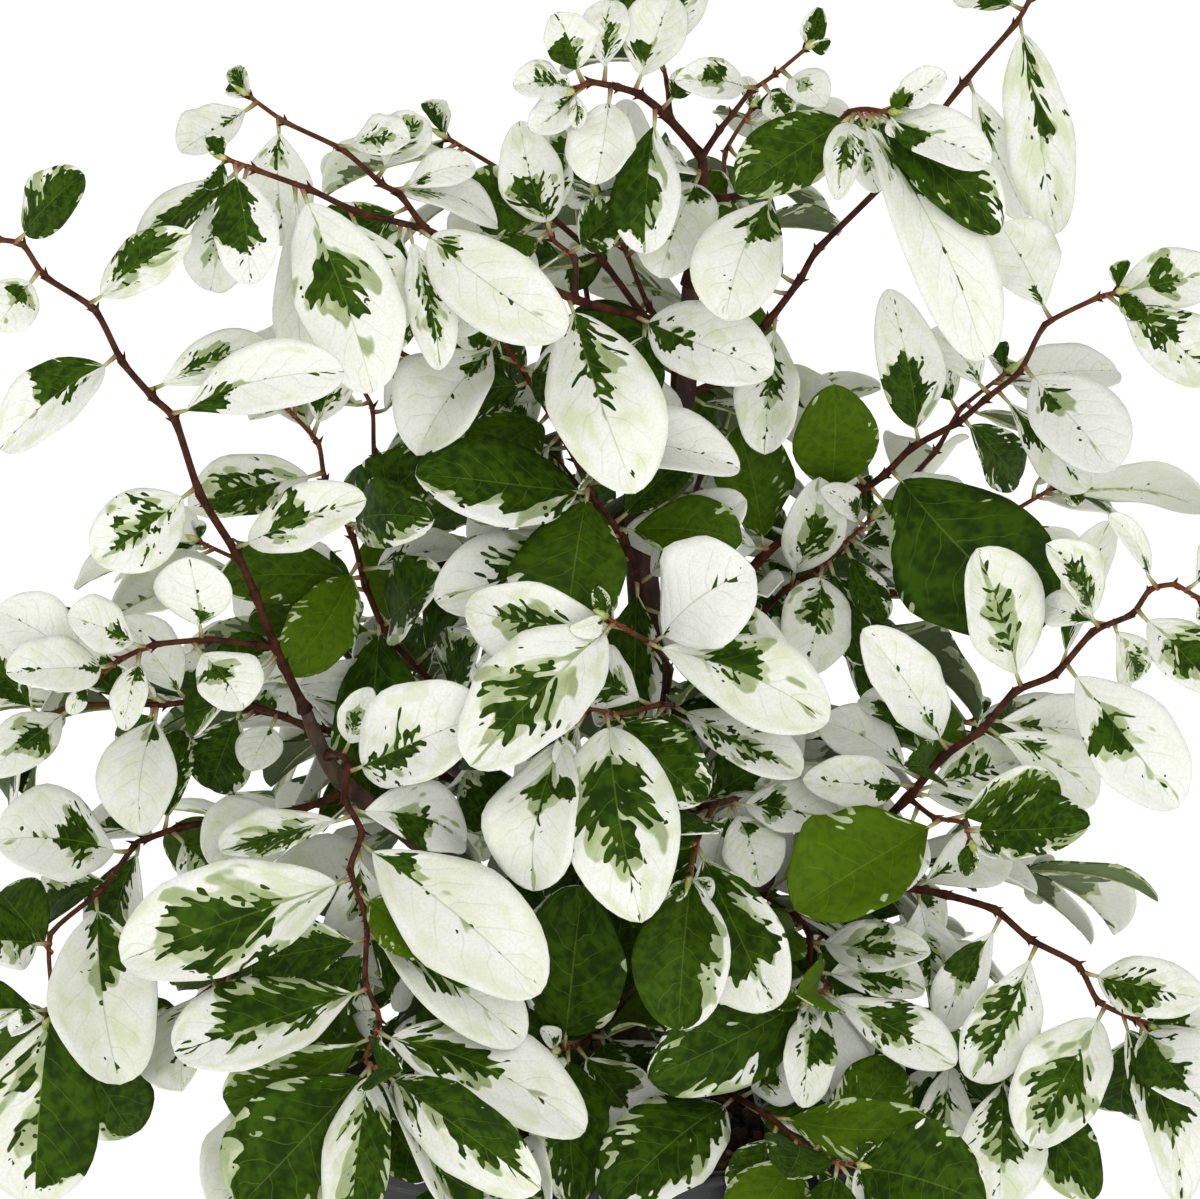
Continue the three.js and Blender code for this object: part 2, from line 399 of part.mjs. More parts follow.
function leafSolids(leaf, tip, turn) {
  const frame = leafFrame(leaf, tip, turn);
  const root = leaf.base.clone().addScaledVector(frame.along, -0.5 * leaf.stemRadius);
  const blades = (leaf.large ? LARGE_STATIONS : STATIONS).map((t) => bladeRing(leaf, frame, t));
  const neck = stalkRing(frame);
  return {
    whole: loft([neck, ...blades], root, tip),
    blade: loft([neck, ...blades], null, tip),
  };
}

// What is placed already, with its box, so that only near neighbours are compared
const placed = [];

function boxOf(solid) {
  const { min, max } = solid.boundingBox();
  return { min, max };
}

function boxesNear(a, b, distance) {
  return [0, 1, 2].every((axis) => a.min[axis] - distance < b.max[axis]
    && b.min[axis] - distance < a.max[axis]);
}

function place(spray, whole, blade, kind) {
  placed.push({ spray, whole, blade, kind, box: boxOf(whole) });
}

function touches(solid, other) {
  return solid.minGap(other, CLEAR * 2) < CLEAR;
}

function stemIsClear(spray, solid) {
  const box = boxOf(solid);
  return placed.every((other) => other.spray === spray || other.spray === 'trunk'
    || !boxesNear(box, other.box, CLEAR) || !touches(solid, other.whole));
}

function leafIsClear(spray, { whole, blade }) {
  const box = boxOf(whole);
  return placed.every((other) => {
    if (!boxesNear(box, other.box, CLEAR)) return true;
    if (other.spray === spray) return !touches(blade, other.kind === 'leaf' ? other.blade : other.whole);
    return !touches(whole, other.whole);
  });
}

function largestPiece(solid) {
  return solid.decompose().reduce((best, piece) => (piece.volume() > best.volume() ? piece : best));
}

// The pot: an oval bowl with a rolled lip, a flat underside and two drain holes
function ovalTurned(profile) {
  const outlinePoints = profile.map(([radius, height]) => new THREE.Vector2(radius, height));
  const turned = new THREE.LatheGeometry(outlinePoints, POT_SIDES);
  turned.rotateX(Math.PI / 2);
  turned.scale(1, POT_DEPTH / POT_LENGTH, 1);
  return toSolid(turned);
}

const HALF = POT_LENGTH / 2;
const BODY_TOP = POT_HEIGHT - LIP_HEIGHT;
const INNER_TOP = HALF - POT_WALL;
const INNER_FOOT = FOOT_LENGTH / 2 - 3;

function innerRadius(height) {
  return THREE.MathUtils.mapLinear(height, POT_FLOOR, POT_HEIGHT, INNER_FOOT, INNER_TOP);
}

function upright(radius, height, base, sides, x = 0, y = 0) {
  const rod = new THREE.CylinderGeometry(radius, radius, height, sides);
  rod.rotateX(Math.PI / 2);
  rod.translate(x, y, base + height / 2);
  return toSolid(rod);
}

function makePot() {
  let pot = ovalTurned([
    [0, 0], [FOOT_LENGTH / 2 - 1.5, 0], [FOOT_LENGTH / 2, 1.5], [HALF - LIP_PROUD, BODY_TOP],
    [HALF, BODY_TOP + 1.5], [HALF, POT_HEIGHT - 1.5], [HALF - 1.5, POT_HEIGHT],
    [INNER_TOP, POT_HEIGHT], [INNER_FOOT, POT_FLOOR], [0, POT_FLOOR],
  ]);
  for (const x of [-DRAIN_SPACING / 2, DRAIN_SPACING / 2]) {
    pot = pot.subtract(upright(DRAIN_HOLE / 2, POT_FLOOR + 2, -1, 16, x));
  }
  return pot;
}

// A drain mesh: a round plate with four square holes, over each drain hole
const MESH_HOLE = 3.6;
const MESH_PITCH = 4.8;

function makeDrainMesh(x) {
  let plate = upright(DRAIN_MESH / 2, DRAIN_MESH_THICK, POT_FLOOR + GAP, 16, x);
  for (const column of [-0.5, 0.5]) {
    for (const row of [-0.5, 0.5]) {
      const hole = new THREE.BoxGeometry(MESH_HOLE, MESH_HOLE, 3 * DRAIN_MESH_THICK);
      hole.translate(x + column * MESH_PITCH, row * MESH_PITCH, POT_FLOOR + GAP + DRAIN_MESH_THICK / 2);
      plate = plate.subtract(toSolid(hole));
    }
  }
  return plate;
}

// The wood: trunk, limbs and surface roots, one piece; grown by GAP it cuts its seat in the rest
function makeWood(grown) {
  const trunkRoute = TRUNK.route.map(seen);
  const foot = trunkRoute[0].clone().setZ(SOIL_TOP + 6);
  const flare = trunkRoute[0].clone().setZ(SOIL_TOP - 2);
  const tapRoot = trunkRoute[0].clone().setZ(ROOT_DEPTH);
  const upper = [foot, ...trunkRoute.slice(1)];
  const pieces = [branch(upper, TRUNK.thick, 7, grown), branch([tapRoot, flare, foot], [8, 16], 7, grown)];
  for (const limb of Object.values(LIMBS)) {
    pieces.push(branch(limb.route.map(seen), limb.thick, 5, grown));
  }
  for (const [angle, reach, thick] of ROOTS) {
    const turn = THREE.MathUtils.degToRad(angle);
    const out = (distance, height) => new THREE.Vector3(
      foot.x + distance * Math.cos(turn), foot.y + distance * Math.sin(turn), height);
    const route = [out(1, SOIL_TOP + 5), out(reach * 0.5, SOIL_TOP + 2.6), out(reach, SOIL_TOP - 3)];
    pieces.push(branch(route, [thick, 2.5], 5, grown));
  }
  return wasm.Manifold.union(pieces);
}

// The soil: fills the pot to just under its lip, round the trunk's foot and over the drain meshes
function makeSoil(woodSeat) {
  const side = POT_WALL * 0.1;
  let soil = ovalTurned([
    [0, POT_FLOOR + GAP], [innerRadius(POT_FLOOR + GAP) - side, POT_FLOOR + GAP],
    [innerRadius(SOIL_TOP) - side, SOIL_TOP], [HALF * 0.6, SOIL_TOP + SOIL_CROWN * 0.55],
    [HALF * 0.3, SOIL_TOP + SOIL_CROWN * 0.9], [0, SOIL_TOP + SOIL_CROWN],
  ]);
  for (const x of [-DRAIN_SPACING / 2, DRAIN_SPACING / 2]) {
    soil = soil.subtract(upright(DRAIN_MESH / 2 + GAP, DRAIN_MESH_THICK + 3 * GAP, POT_FLOOR, 16, x));
  }
  return largestPiece(soil.subtract(woodSeat));
}

// Routes of the ruled stems: equal steps that swing from side to side and sag with their length
function fillRoute(stem, turn, lift) {
  const point = seen(stem.from);
  const route = [point.clone()];
  const steps = Math.round(stem.length / NODE_STEP);
  for (let step = 0; step < steps; step += 1) {
    const swing = step % 2 === 0 ? ZIGZAG : -ZIGZAG;
    const heading = THREE.MathUtils.degToRad(stem.angle + turn + swing);
    const climb = THREE.MathUtils.degToRad(stem.rise + lift - STEM_SAG * step);
    point.x += NODE_STEP * Math.cos(climb) * Math.cos(heading);
    point.y += NODE_STEP * Math.cos(climb) * Math.sin(heading);
    point.z += NODE_STEP * Math.sin(climb);
    route.push(point.clone());
  }
  return route;
}

// Leaves of the ruled stems: one at each node, left and right in turn, and two at the end
function fillLeaves(route, thick, green) {
  const last = route.length - 1;
  const leaves = [];
  for (let node = 1; node <= last + 1; node += 1) {
    const at = Math.min(node, last);
    const ahead = route[at].clone().sub(route[at - 1]);
    const heading = Math.atan2(ahead.y, ahead.x);
    const hand = node % 2 === 0 ? 1 : -1;
    const spread = THREE.MathUtils.degToRad(node > last - 1 ? between(14, 34) : between(44, 68));
    const drop = THREE.MathUtils.degToRad(between(-42, 4));
    const length = between(27, 37) * (node > last ? 0.85 : 1);
    const direction = new THREE.Vector3(Math.cos(drop) * Math.cos(heading + hand * spread),
      Math.cos(drop) * Math.sin(heading + hand * spread), Math.sin(drop));
    const outward = new THREE.Vector3(route[at].x, route[at].y, 0).normalize();
    leaves.push({
      base: leafBase(route, at, node > last ? 1 : 0),
      tip: route[at].clone().addScaledVector(direction, length),
      stemRadius: THREE.MathUtils.lerp(thick[0], thick[1], at / last) / 2,
      width: length * between(0.5, 0.64),
      green: THREE.MathUtils.clamp(green + between(-0.45, 0.4), 0, 1),
      face: outward.multiplyScalar(0.6).add(new THREE.Vector3(0, 0, 0.8)),
      roll: between(-25, 25), arch: between(0.03, 0.1), cup: between(0.08, 0.3),
      sway: between(-0.04, 0.04), large: false,
    });
  }
  return leaves;
}

// Leaves of the stems of the front, as they are listed
const SEEN_FACE = new THREE.Vector3(0, -0.82, 0.57);

function listedLeaves(stem, route) {
  const last = route.length - 1;
  const counts = route.map(() => 0);
  return stem.leaves.map(([node, across, up, back, width, green]) => ({
    base: leafBase(route, node, counts[node]++),
    tip: seen([across, up, back]),
    stemRadius: THREE.MathUtils.lerp(stem.thick[0], stem.thick[1], node / last) / 2,
    width: width * 1.06,
    green,
    face: SEEN_FACE,
    roll: between(-14, 14), arch: between(0.03, 0.1), cup: between(0.06, 0.26),
    sway: between(-0.04, 0.04), large: width > 12,
  }));
}

// A leaf leaves its stem just past its node, towards the next node, the second leaf of a node a
// little further on, so that each stalk has its own place
function leafBase(route, node, count) {
  const towards = node + 1 < route.length ? route[node + 1] : route[node - 1];
  const step = new THREE.Vector3().subVectors(towards, route[node]).normalize();
  return route[node].clone().addScaledVector(step, LEAF_SPACING * (count + 1));
}

function placeLeaves(spray, leaves) {
  const grown = [];
  for (const leaf of leaves) {
    let found = null;
    for (const shift of TIP_SHIFTS) {
      const tip = leaf.tip.clone().addScaledVector(TO_VIEWER, shift);
      for (const turn of BLADE_TURNS) {
        if (found) break;
        const solids = leafSolids(leaf, tip, turn);
        if (leafIsClear(spray, solids)) found = solids;
      }
      if (found) break;
    }
    if (found) {
      place(spray, found.whole, found.blade, 'leaf');
      grown.push(found.whole);
    }
  }
  return grown;
}

// Materials
const glaze = { color: 0x23262a, roughness: 0.35, metalness: 0 };
const earth = { color: 0x3a2a1e, roughness: 0.95, metalness: 0 };
const bark = { color: 0x5b3a2c, roughness: 0.8, metalness: 0 };
const foliage = { color: 0xb9c9a4, roughness: 0.55, metalness: 0 };
const plastic = { color: 0x1c1c1c, roughness: 0.6, metalness: 0 };

const bush = new THREE.Group();

function addMesh(name, solid, look) {
  const { vertProperties, triVerts } = solid.getMesh();
  const geometry = new THREE.BufferGeometry();
  geometry.setAttribute('position', new THREE.Float32BufferAttribute(vertProperties, 3));
  geometry.setIndex(Array.from(triVerts));
  geometry.computeVertexNormals();
  const mesh = new THREE.Mesh(geometry, new THREE.MeshStandardMaterial(look));
  mesh.name = name;
  bush.add(mesh);
}

const wood = makeWood(0);
const woodSeat = makeWood(GAP);
place('trunk', wood, wood, 'stem');
const pot = makePot();
const soil = makeSoil(woodSeat);
place('pot', pot, pot, 'stem');
place('soil', soil, soil, 'stem');

addMesh('pot', pot, glaze);
addMesh('drain_mesh_left', makeDrainMesh(-DRAIN_SPACING / 2), plastic);
addMesh('drain_mesh_right', makeDrainMesh(DRAIN_SPACING / 2), plastic);
addMesh('soil', soil, earth);
addMesh('trunk', wood, bark);

// Sprays: the stems of each, cut clear of the wood, then its leaves
const sprays = new Map();

function addStem(spray, route, thick, sides, leaves) {
  const solid = largestPiece(branch(route, thick, sides).subtract(woodSeat));
  if (!sprays.has(spray)) sprays.set(spray, { solids: [], leaves: [] });
  sprays.get(spray).solids.push(solid);
  sprays.get(spray).leaves.push(...leaves);
  place(spray, solid, solid, 'stem');
}

for (const stem of STEMS) {
  const route = stem.route.map(seen);
  addStem(stem.spray, route, stem.thick, 4, listedLeaves(stem, route));
}
for (const [spray, { solids, leaves }] of sprays) solids.push(...placeLeaves(spray, leaves));

FILL_STEMS.forEach((stem, index) => {
  const spray = `spray_fill_${String(index + 1).padStart(2, '0')}`;
  let chosen = null;
  for (const lift of STEM_LIFTS) {
    for (const turn of STEM_TURNS) {
      if (chosen) break;
      const route = fillRoute(stem, turn, lift);
      const solid = largestPiece(branch(route, FILL_STEM_THICK, 3).subtract(woodSeat));
      if (stemIsClear(spray, solid)) chosen = route;
    }
    if (chosen) break;
  }
  if (!chosen) return;
  const leaves = fillLeaves(chosen, FILL_STEM_THICK, stem.green);
  addStem(spray, chosen, FILL_STEM_THICK, 3, leaves);
  sprays.get(spray).solids.push(...placeLeaves(spray, leaves));
});

for (const [spray, { solids }] of sprays) {
  addMesh(spray, largestPiece(wasm.Manifold.union(solids)), foliage);
}

export default bush;
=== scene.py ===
# A snow bush grown as a bonsai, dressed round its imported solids: leaves, stems, trunk, pot and soil.

import math
import random

import bmesh
import bpy
from mathutils import Matrix, Quaternion, Vector, kdtree, noise
from mathutils.bvhtree import BVHTree


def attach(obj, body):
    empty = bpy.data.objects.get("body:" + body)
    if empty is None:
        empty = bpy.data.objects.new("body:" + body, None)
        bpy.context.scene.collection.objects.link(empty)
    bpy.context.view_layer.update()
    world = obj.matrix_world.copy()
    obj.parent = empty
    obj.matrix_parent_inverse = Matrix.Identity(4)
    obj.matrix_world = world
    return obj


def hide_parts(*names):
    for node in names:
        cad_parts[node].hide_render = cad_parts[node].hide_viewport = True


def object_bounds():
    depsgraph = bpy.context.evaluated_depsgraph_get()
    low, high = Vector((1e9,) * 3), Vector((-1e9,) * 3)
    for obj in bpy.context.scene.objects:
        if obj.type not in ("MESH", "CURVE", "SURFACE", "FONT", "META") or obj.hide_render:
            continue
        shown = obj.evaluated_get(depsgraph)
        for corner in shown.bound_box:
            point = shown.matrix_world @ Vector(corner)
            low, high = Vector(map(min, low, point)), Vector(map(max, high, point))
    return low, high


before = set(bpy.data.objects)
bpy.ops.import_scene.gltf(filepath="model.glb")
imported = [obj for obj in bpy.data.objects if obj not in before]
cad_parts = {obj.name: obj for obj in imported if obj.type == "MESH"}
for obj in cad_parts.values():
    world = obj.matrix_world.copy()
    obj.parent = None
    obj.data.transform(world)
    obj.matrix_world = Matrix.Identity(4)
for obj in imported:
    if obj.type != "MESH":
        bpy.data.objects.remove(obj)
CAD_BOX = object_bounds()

MM = 0.001

# How the front of the bush is seen, in millimetres: across and up are measured in the plane
# through VIEW_POINT that faces the viewer, and back is the distance behind the pot's middle line.
VIEW_POINT = Vector((-8, 0, 160))
VIEW_DISTANCE = 1500
VIEW_WIDTH = 240
VIEW_TILT = math.radians(15)
TO_VIEWER = Vector((0, -math.cos(VIEW_TILT), math.sin(VIEW_TILT)))
VIEW_UP = Vector((0, math.sin(VIEW_TILT), math.cos(VIEW_TILT)))
VIEWER = VIEW_POINT + TO_VIEWER * VIEW_DISTANCE

# Pot, soil and wood
POT_LENGTH, POT_DEPTH, POT_HEIGHT, POT_WALL, POT_FLOOR = 150, 112, 57, 6, 9
LIP_HEIGHT, LIP_PROUD, FOOT_LENGTH = 8, 4, 122
SOIL_TOP, SOIL_CROWN, ROOT_DEPTH = 50, 3, 22
DRAIN_HOLE, DRAIN_SPACING = 12, 56

TRUNK = {"route": [(8, -104, 0), (9, -85, 1), (8, -60, 2), (7, -40, 3), (10, -20, 3), (8, 15, 3),
                   (11, 26, 4), (17, 40, 3), (18, 63, 0)], "thick": (14, 4.4)}
LIMBS = [
    {"route": [(9, -90, 1), (-8, -70, -6), (-30, -53, -14), (-52, -36, -24), (-59, -22, -30)],
     "thick": (9, 3.6)},
    {"route": [(8, -75, 1), (20, -64, -2), (36, -56, -8), (50, -51, -12)], "thick": (8, 3.6)},
    {"route": [(8, -70, 2), (-8, -52, 18), (-26, -36, 36), (-38, -26, 46)], "thick": (8, 3.6)},
    {"route": [(9, -55, 2), (22, -38, 16), (36, -22, 32), (44, -12, 42)], "thick": (7, 3.4)},
]
ROOTS = [(20, 24, 7), (110, 20, 6), (170, 26, 7), (250, 22, 6.5)]

# Stems of the front, as the solids have them: nodes (across, up, back), then leaves
# (node, tip across, tip up, tip back, width, green share of the blade)
STEMS = [
  dict(spray="spray_leader", thick=[4, 2],
    route=[[18, 63, 0], [20.5, 85, -4], [20, 89, -5], [13, 97, -9], [8, 101, -14], [3.5, 102.5, -18],
      [-2, 103.5, -22], [-5, 102, -25]],
    leaves=[[6, -9, 117, -24, 10, 0.6], [7, -17, 103, -32, 9, 0.05], [7, -14, 94, -33, 7, 0.05],
      [5, -1, 83, -30, 13, 0.05], [5, 2, 120, -14, 9, 0.05], [4, 14, 121, -10, 12, 0.35],
      [3, 19, 106, -14, 5, 0.8], [3, 9, 69, -28, 13, 0.65], [1, 12, 65, -22, 15, 0.35]]),
  dict(spray="spray_leader", thick=[2.2, 1.4],
    route=[[14, 96, -8], [13.5, 103, -4], [12, 109, 0]],
    leaves=[[2, 20, 126, 6, 9, 0.2], [2, 3, 122, 8, 10, 0.5]]),
  dict(spray="spray_leader", thick=[2.4, 1.4],
    route=[[20, 88, -5], [24, 94, -7], [26.5, 97, -8], [30, 101.5, -10], [35, 105, -12], [41, 110, -14]],
    leaves=[[3, 15.5, 104, -22, 8, 0.25], [4, 45, 99, -22, 8, 0.05], [3, 38, 96, -22, 6, 0.5]]),
  dict(spray="spray_leader", thick=[2.8, 1.8],
    route=[[20, 80, -3], [34, 82, -16], [50, 97.5, -30], [57.5, 97.5, -36]],
    leaves=[[1, 25, 56, -34, 17, 0.5], [2, 27.5, 82, -44, 15, 0.85], [3, 69, 105, -42, 7, 0.4],
      [3, 78, 87.5, -52, 11, 0.5], [3, 80, 74, -44, 13, 0.8], [3, 77, 48, -54, 16, 0.15],
      [3, 47.5, 80, -52, 7, 0.2], [3, 56, 82, -42, 7, 0.05]]),
  dict(spray="spray_right_high", thick=[3, 1.8],
    route=[[17, 41, 3], [23, 43.5, 2], [34, 56, 4], [40, 64, 6], [43.5, 70, 8], [57.5, 84, 12],
      [72.5, 103, 16], [83, 115, 18], [86, 120, 20], [89, 125, 20]],
    leaves=[[2, 33, 29, -14, 12, 0.05], [7, 91, 73, 6, 13, 0.02], [6, 86, 76, 26, 10, 0.02],
      [9, 104, 136, 14, 12, 0.3], [9, 84, 140, 26, 12, 0.2],
      [7, 70, 126, 30, 12, 0.4], [5, 50, 96, 24, 12, 0.15]]),
  dict(spray="spray_left_high", thick=[3.2, 1.8],
    route=[[18, 54, 0], [8, 56.5, -8], [-5, 60, -16], [-20, 67, -24], [-35, 74, -30],
      [-48.5, 77.5, -34], [-58, 82, -38], [-69, 86, -42], [-74.5, 88, -45]],
    leaves=[[1, 34, 46, -26, 16, 0.2], [2, 7, 22, -40, 21, 0.15], [4, -7, 53, -50, 16, 0.2],
      [4, -32, 46, -42, 9, 0.05], [3, -29, 53, -32, 10, 0.6], [4, -42, 50, -22, 9, 0.9],
      [5, -41, 53, -34, 13, 0.05], [6, -45, 42, -54, 19, 0.35], [6, -60, 46, -32, 9, 0.05],
      [8, -70, 63, -56, 12, 0.65], [8, -92, 70, -54, 11, 0.6], [7, -78, 61, -38, 12, 0.05]]),
  dict(spray="spray_left_high", thick=[2.4, 1.6],
    route=[[-35, 74, -30], [-40, 81, -27], [-43.5, 83, -26], [-51.5, 90, -22], [-63, 95.5, -18],
      [-70, 100.5, -15]],
    leaves=[[5, -84, 90, -26, 10, 0.05], [4, -63, 71, -28, 13, 0.15], [3, -38, 92, -30, 9, 0.05],
      [2, -36, 97, -18, 10, 0.05], [1, -25, 87, -22, 8, 0.2], [1, -20, 76, -26, 12, 0.1]]),
  dict(spray="spray_left_high", thick=[2.2, 1.4],
    route=[[-5, 60, -16], [-5, 68, -12], [-9.5, 72, -10], [-11.6, 77.6, -8]],
    leaves=[[3, -28, 82, -18, 14, 0.95], [3, -7.5, 89, -12, 6, 0.8], [3, -16, 95, -6, 12, 0.3],
      [2, -20, 68, -18, 7, 0.9], [1, 5, 78, -16, 11, 0.7]]),
  dict(spray="spray_crown_inner", thick=[2.4, 1.4],
    route=[[17.5, 50, 2], [10, 58, 10], [5, 70, 14], [0, 80, 16]],
    leaves=[[1, -6, 48, 18, 14, 0.8], [2, -12, 66, 20, 13, 0.6], [2, 16, 76, 24, 12, 0.4],
      [3, -10, 96, 16, 12, 0.5], [3, 6, 100, 22, 11, 0.2]]),
  dict(spray="spray_centre_left", thick=[2.8, 1.6],
    route=[[9, 4, 3], [0, 18, 0], [-7, 32, -4], [-15, 45, -9], [-21, 54, -12]],
    leaves=[[4, -37, 30, -30, 18, 0.15], [3, 3, 42, -26, 13, 0.7], [4, -16, 72, -8, 11, 0.3],
      [3, -36, 56, -4, 13, 0.8], [2, -26, 16, -12, 15, 0.6], [1, -22, 26, 8, 13, 1]]),
  dict(spray="spray_centre", thick=[2.8, 1.6],
    route=[[9, -8, 3], [8, 2, -8], [5, 12, -15], [-1, 20, -20], [-5, 28, -22], [-4, 33, -23]],
    leaves=[[3, -36, 26, -36, 19, 0.85], [3, -7, -7, -40, 22, 1], [2, -33, 0, -28, 17, 0.15],
      [5, -9, 53, -30, 11, 0.85], [4, 12, 34, -32, 12, 1], [4, 28, 26, -22, 14, 0.15],
      [1, 29, 20, -20, 13, 0.2], [2, 28, 12, -18, 13, 0.9], [1, 7, -27, -14, 13, 0.9]]),
  dict(spray="spray_right", thick=[3.2, 1.8],
    route=[[9, -14, 3], [18, -8, 6], [32, 8, 7], [44.6, 18.6, 6], [52, 21.6, 5], [57, 25, 4],
      [62.4, 30.4, 2], [71.6, 35.4, 0], [77, 40, -2], [84, 45.6, -5], [89, 55, -8], [99.6, 60.4, -12],
      [103, 61.4, -14]],
    leaves=[[12, 123, 44, -26, 14, 0.3], [10, 80, 75, -2, 15, 0.1], [9, 103, 26, -22, 18, 0.05],
      [8, 66, 54, 6, 10, 0.05], [6, 58, 61, -10, 12.4, 0.6], [7, 84, 24, 12, 11, 0.9],
      [8, 98, 22, -4, 10, 0.3], [5, 88, -5, -26, 29, 1], [3, 47, 42, -6, 16, 1], [2, 28, 34, 4, 15, 1],
      [4, 36, 46, 16, 13, 0.4], [12, 124, 66, -8, 12, 0.35], [2, 5, 13, -6, 12, 0.45]]),
  dict(spray="spray_right_inner", thick=[2.6, 1.4],
    route=[[8.5, -28, 3], [24, -12, 12], [37, 2, 14], [43.6, 6, 12], [47.6, 10, 10], [54, 16, 9]],
    leaves=[[3, 41, -15, -8, 14, 0.25], [4, 57, -4, 2, 7, 0.9], [3, 53, -13, 4, 8, 0.9],
      [5, 44, 22, -4, 6, 0.5], [2, 44, 24, -4, 12, 0.15], [2, 35, -11, -10, 6, 0.5],
      [2, 6, 9, -14, 10, 0.5], [5, 74, 22, 20, 13, 0.6], [4, 72, 4, 24, 14, 0.35],
      [1, 40, -18, 14, 14, 0.8]]),
  dict(spray="spray_right_mid", thick=[3.2, 1.8],
    route=[[50, -51, -12], [61.6, -39.6, -20], [68.6, -31.4, -22], [76, -26.4, -24], [83, -18.4, -26],
      [91, -15, -29], [98.6, -6.4, -32], [106.4, -3, -35], [110, 2, -37], [115, 3, -39], [120, 0, -41]],
    leaves=[[4, 75.6, 10, -38, 17, 0.02], [5, 102, 16, -20, 8, 0.5], [6, 90, 11, -44, 10, 0.2],
      [8, 102, 17, -46, 5, 0.3], [6, 88, -1, -22, 7, 0.5], [6, 107, -17, -24, 9, 0.05],
      [7, 123, -18, -50, 12, 0.4], [5, 115.6, -41.6, -46, 17, 0.35], [3, 99.4, -40, -20, 12, 0.03],
      [2, 53, -6, -32, 13, 0.05], [10, 138, -6, -48, 10, 0.3], [10, 131, 14, -50, 9, 0.5],
      [1, 84, -31, -12, 13, 0.15], [1, 41, -36, -30, 10, 0.5], [1, 44, -24, -14, 12, 0.05],
      [2, 52, -19, -10, 9, 0.6], [3, 96.6, -26, -10, 12, 0.15]]),
  dict(spray="spray_right_mid", thick=[2, 1.4],
    route=[[61.6, -39.6, -20], [66.8, -43.6, -28], [72.6, -44.6, -32], [74, -48, -34]],
    leaves=[[1, 39.4, -61, -48, 22, 1], [2, 98, -45, -48, 14, 0.8], [1, 92, -37, -30, 11, 0.9]]),
  dict(spray="spray_right_low", thick=[3, 1.8],
    route=[[44.5, -53.3, -10.7], [60.4, -57.4, -20], [69, -59, -24], [79, -62, -30], [86, -68, -34],
      [95.6, -73, -38], [99.6, -80.4, -40], [107, -84, -43], [109.4, -85, -44]],
    leaves=[[1, 82, -50, -14, 12, 0.05], [4, 74.6, -96, -48, 14, 0.2], [3, 68, -86, -34, 10, 0.5],
      [5, 121, -80, -54, 12, 0.3], [6, 86, -109, -58, 17, 0.25], [8, 121, -101, -60, 14, 0.6],
      [7, 104, -103, -34, 15, 0.7], [8, 133, -88, -40, 12, 0.4], [8, 117, -120, -46, 13, 0.5],
      [1, 66, -77, -14, 12, 0.1]]),
  dict(spray="spray_right_droop", thick=[2.8, 1.6],
    route=[[31, -58, -6.5], [38, -62, -14], [42, -67, -20], [42, -73, -26], [45.6, -77.4, -31],
      [42, -80, -35]],
    leaves=[[2, 66, -70.6, -38, 10, 0.45], [3, 65, -78, -30, 11, 0.3], [4, 71, -92, -48, 12, 0.45],
      [5, 41, -101, -52, 10, 0.5], [5, 9.6, -96, -54, 19, 0.75], [1, 55, -66, 4, 13, 0.7],
      [3, 20, -76, -24, 14, 0.6]]),
  dict(spray="spray_front", thick=[2.8, 1.6],
    route=[[9, -24, 3], [13, -19, -10], [14, -14, -22], [11, -9.4, -33], [6, -6.4, -40],
      [1.6, -3.8, -43]],
    leaves=[[3, 30, 6, -46, 22, 0.2], [5, -26, -33, -64, 20, 0.25], [4, -27, -2, -36, 16, 0.02],
      [3, 45.6, -24, -54, 17, 0.25]]),
  dict(spray="spray_front", thick=[2.2, 1.4],
    route=[[13, -19, -10], [15, -21, -24], [12, -21, -34], [4, -23, -41], [-2, -22, -45],
      [-8, -26, -48]],
    leaves=[[1, 40, -34, -42, 12, 0.1], [2, -6, -13, -30, 13, 0.3], [3, 21, -40, -48, 15, 0.7],
      [4, -14, -42, -44, 13, 0.5], [3, 8, -64, -66, 22, 0.35], [5, -14, -58, -62, 20, 0.35]]),
  dict(spray="spray_front_low", thick=[2.8, 1.6],
    route=[[7.4, -46, 3], [18, -42, -10], [27, -40, -22], [23, -41, -32], [19.6, -47.6, -40],
      [18, -55, -45]],
    leaves=[[5, 15.6, -86, -60, 18, 0.9], [4, 34.4, -82.4, -56, 19, 0.6], [2, 32, -57, -36, 12, 0.3],
      [1, 38, -30, -2, 13, 0.6], [2, 48, -44, -34, 13, 0.4], [1, 38, -52, -14, 14, 0.1]]),
  dict(spray="spray_low_centre", thick=[2.8, 1.6],
    route=[[8.4, -78, 1], [2, -84, -14], [-4, -89, -28], [-8, -90, -36]],
    leaves=[[3, -4, -58, -42, 21, 1], [3, -5, -121, -58, 15, 0.8], [2, 12, -109, -40, 14, 0.6],
      [2, -26, -80, -30, 14, 0.7], [1, -20, -100, -18, 14, 0.9], [1, 5, -58, -20, 14, 1],
      [1, 15, -101, -12, 13, 0.8]]),
  dict(spray="spray_low_right", thick=[2.8, 1.6],
    route=[[8.5, -92, 1], [18, -97, -16], [26, -99, -32], [33.4, -103, -45], [40, -108.6, -52],
      [46, -112.4, -56], [51, -113, -58]],
    leaves=[[2, 1.6, -121, -64, 20, 0.7], [3, 66, -105, -58, 13, 0.95], [6, 77, -121, -72, 22, 1],
      [5, 44, -136, -72, 14, 0.95], [4, 28, -130, -66, 16, 1], [2, 40, -92, -40, 13, 0.3],
      [6, 62, -134, -66, 14, 0.6], [4, 60, -93, -44, 14, 0.95], [3, 29, -120, -40, 13, 0.85]]),
  dict(spray="spray_low_outer", thick=[2.8, 1.6],
    route=[[37, -55.7, -8.3], [46, -68, -2], [59, -82, -12], [69, -90, -28], [82, -94, -41]],
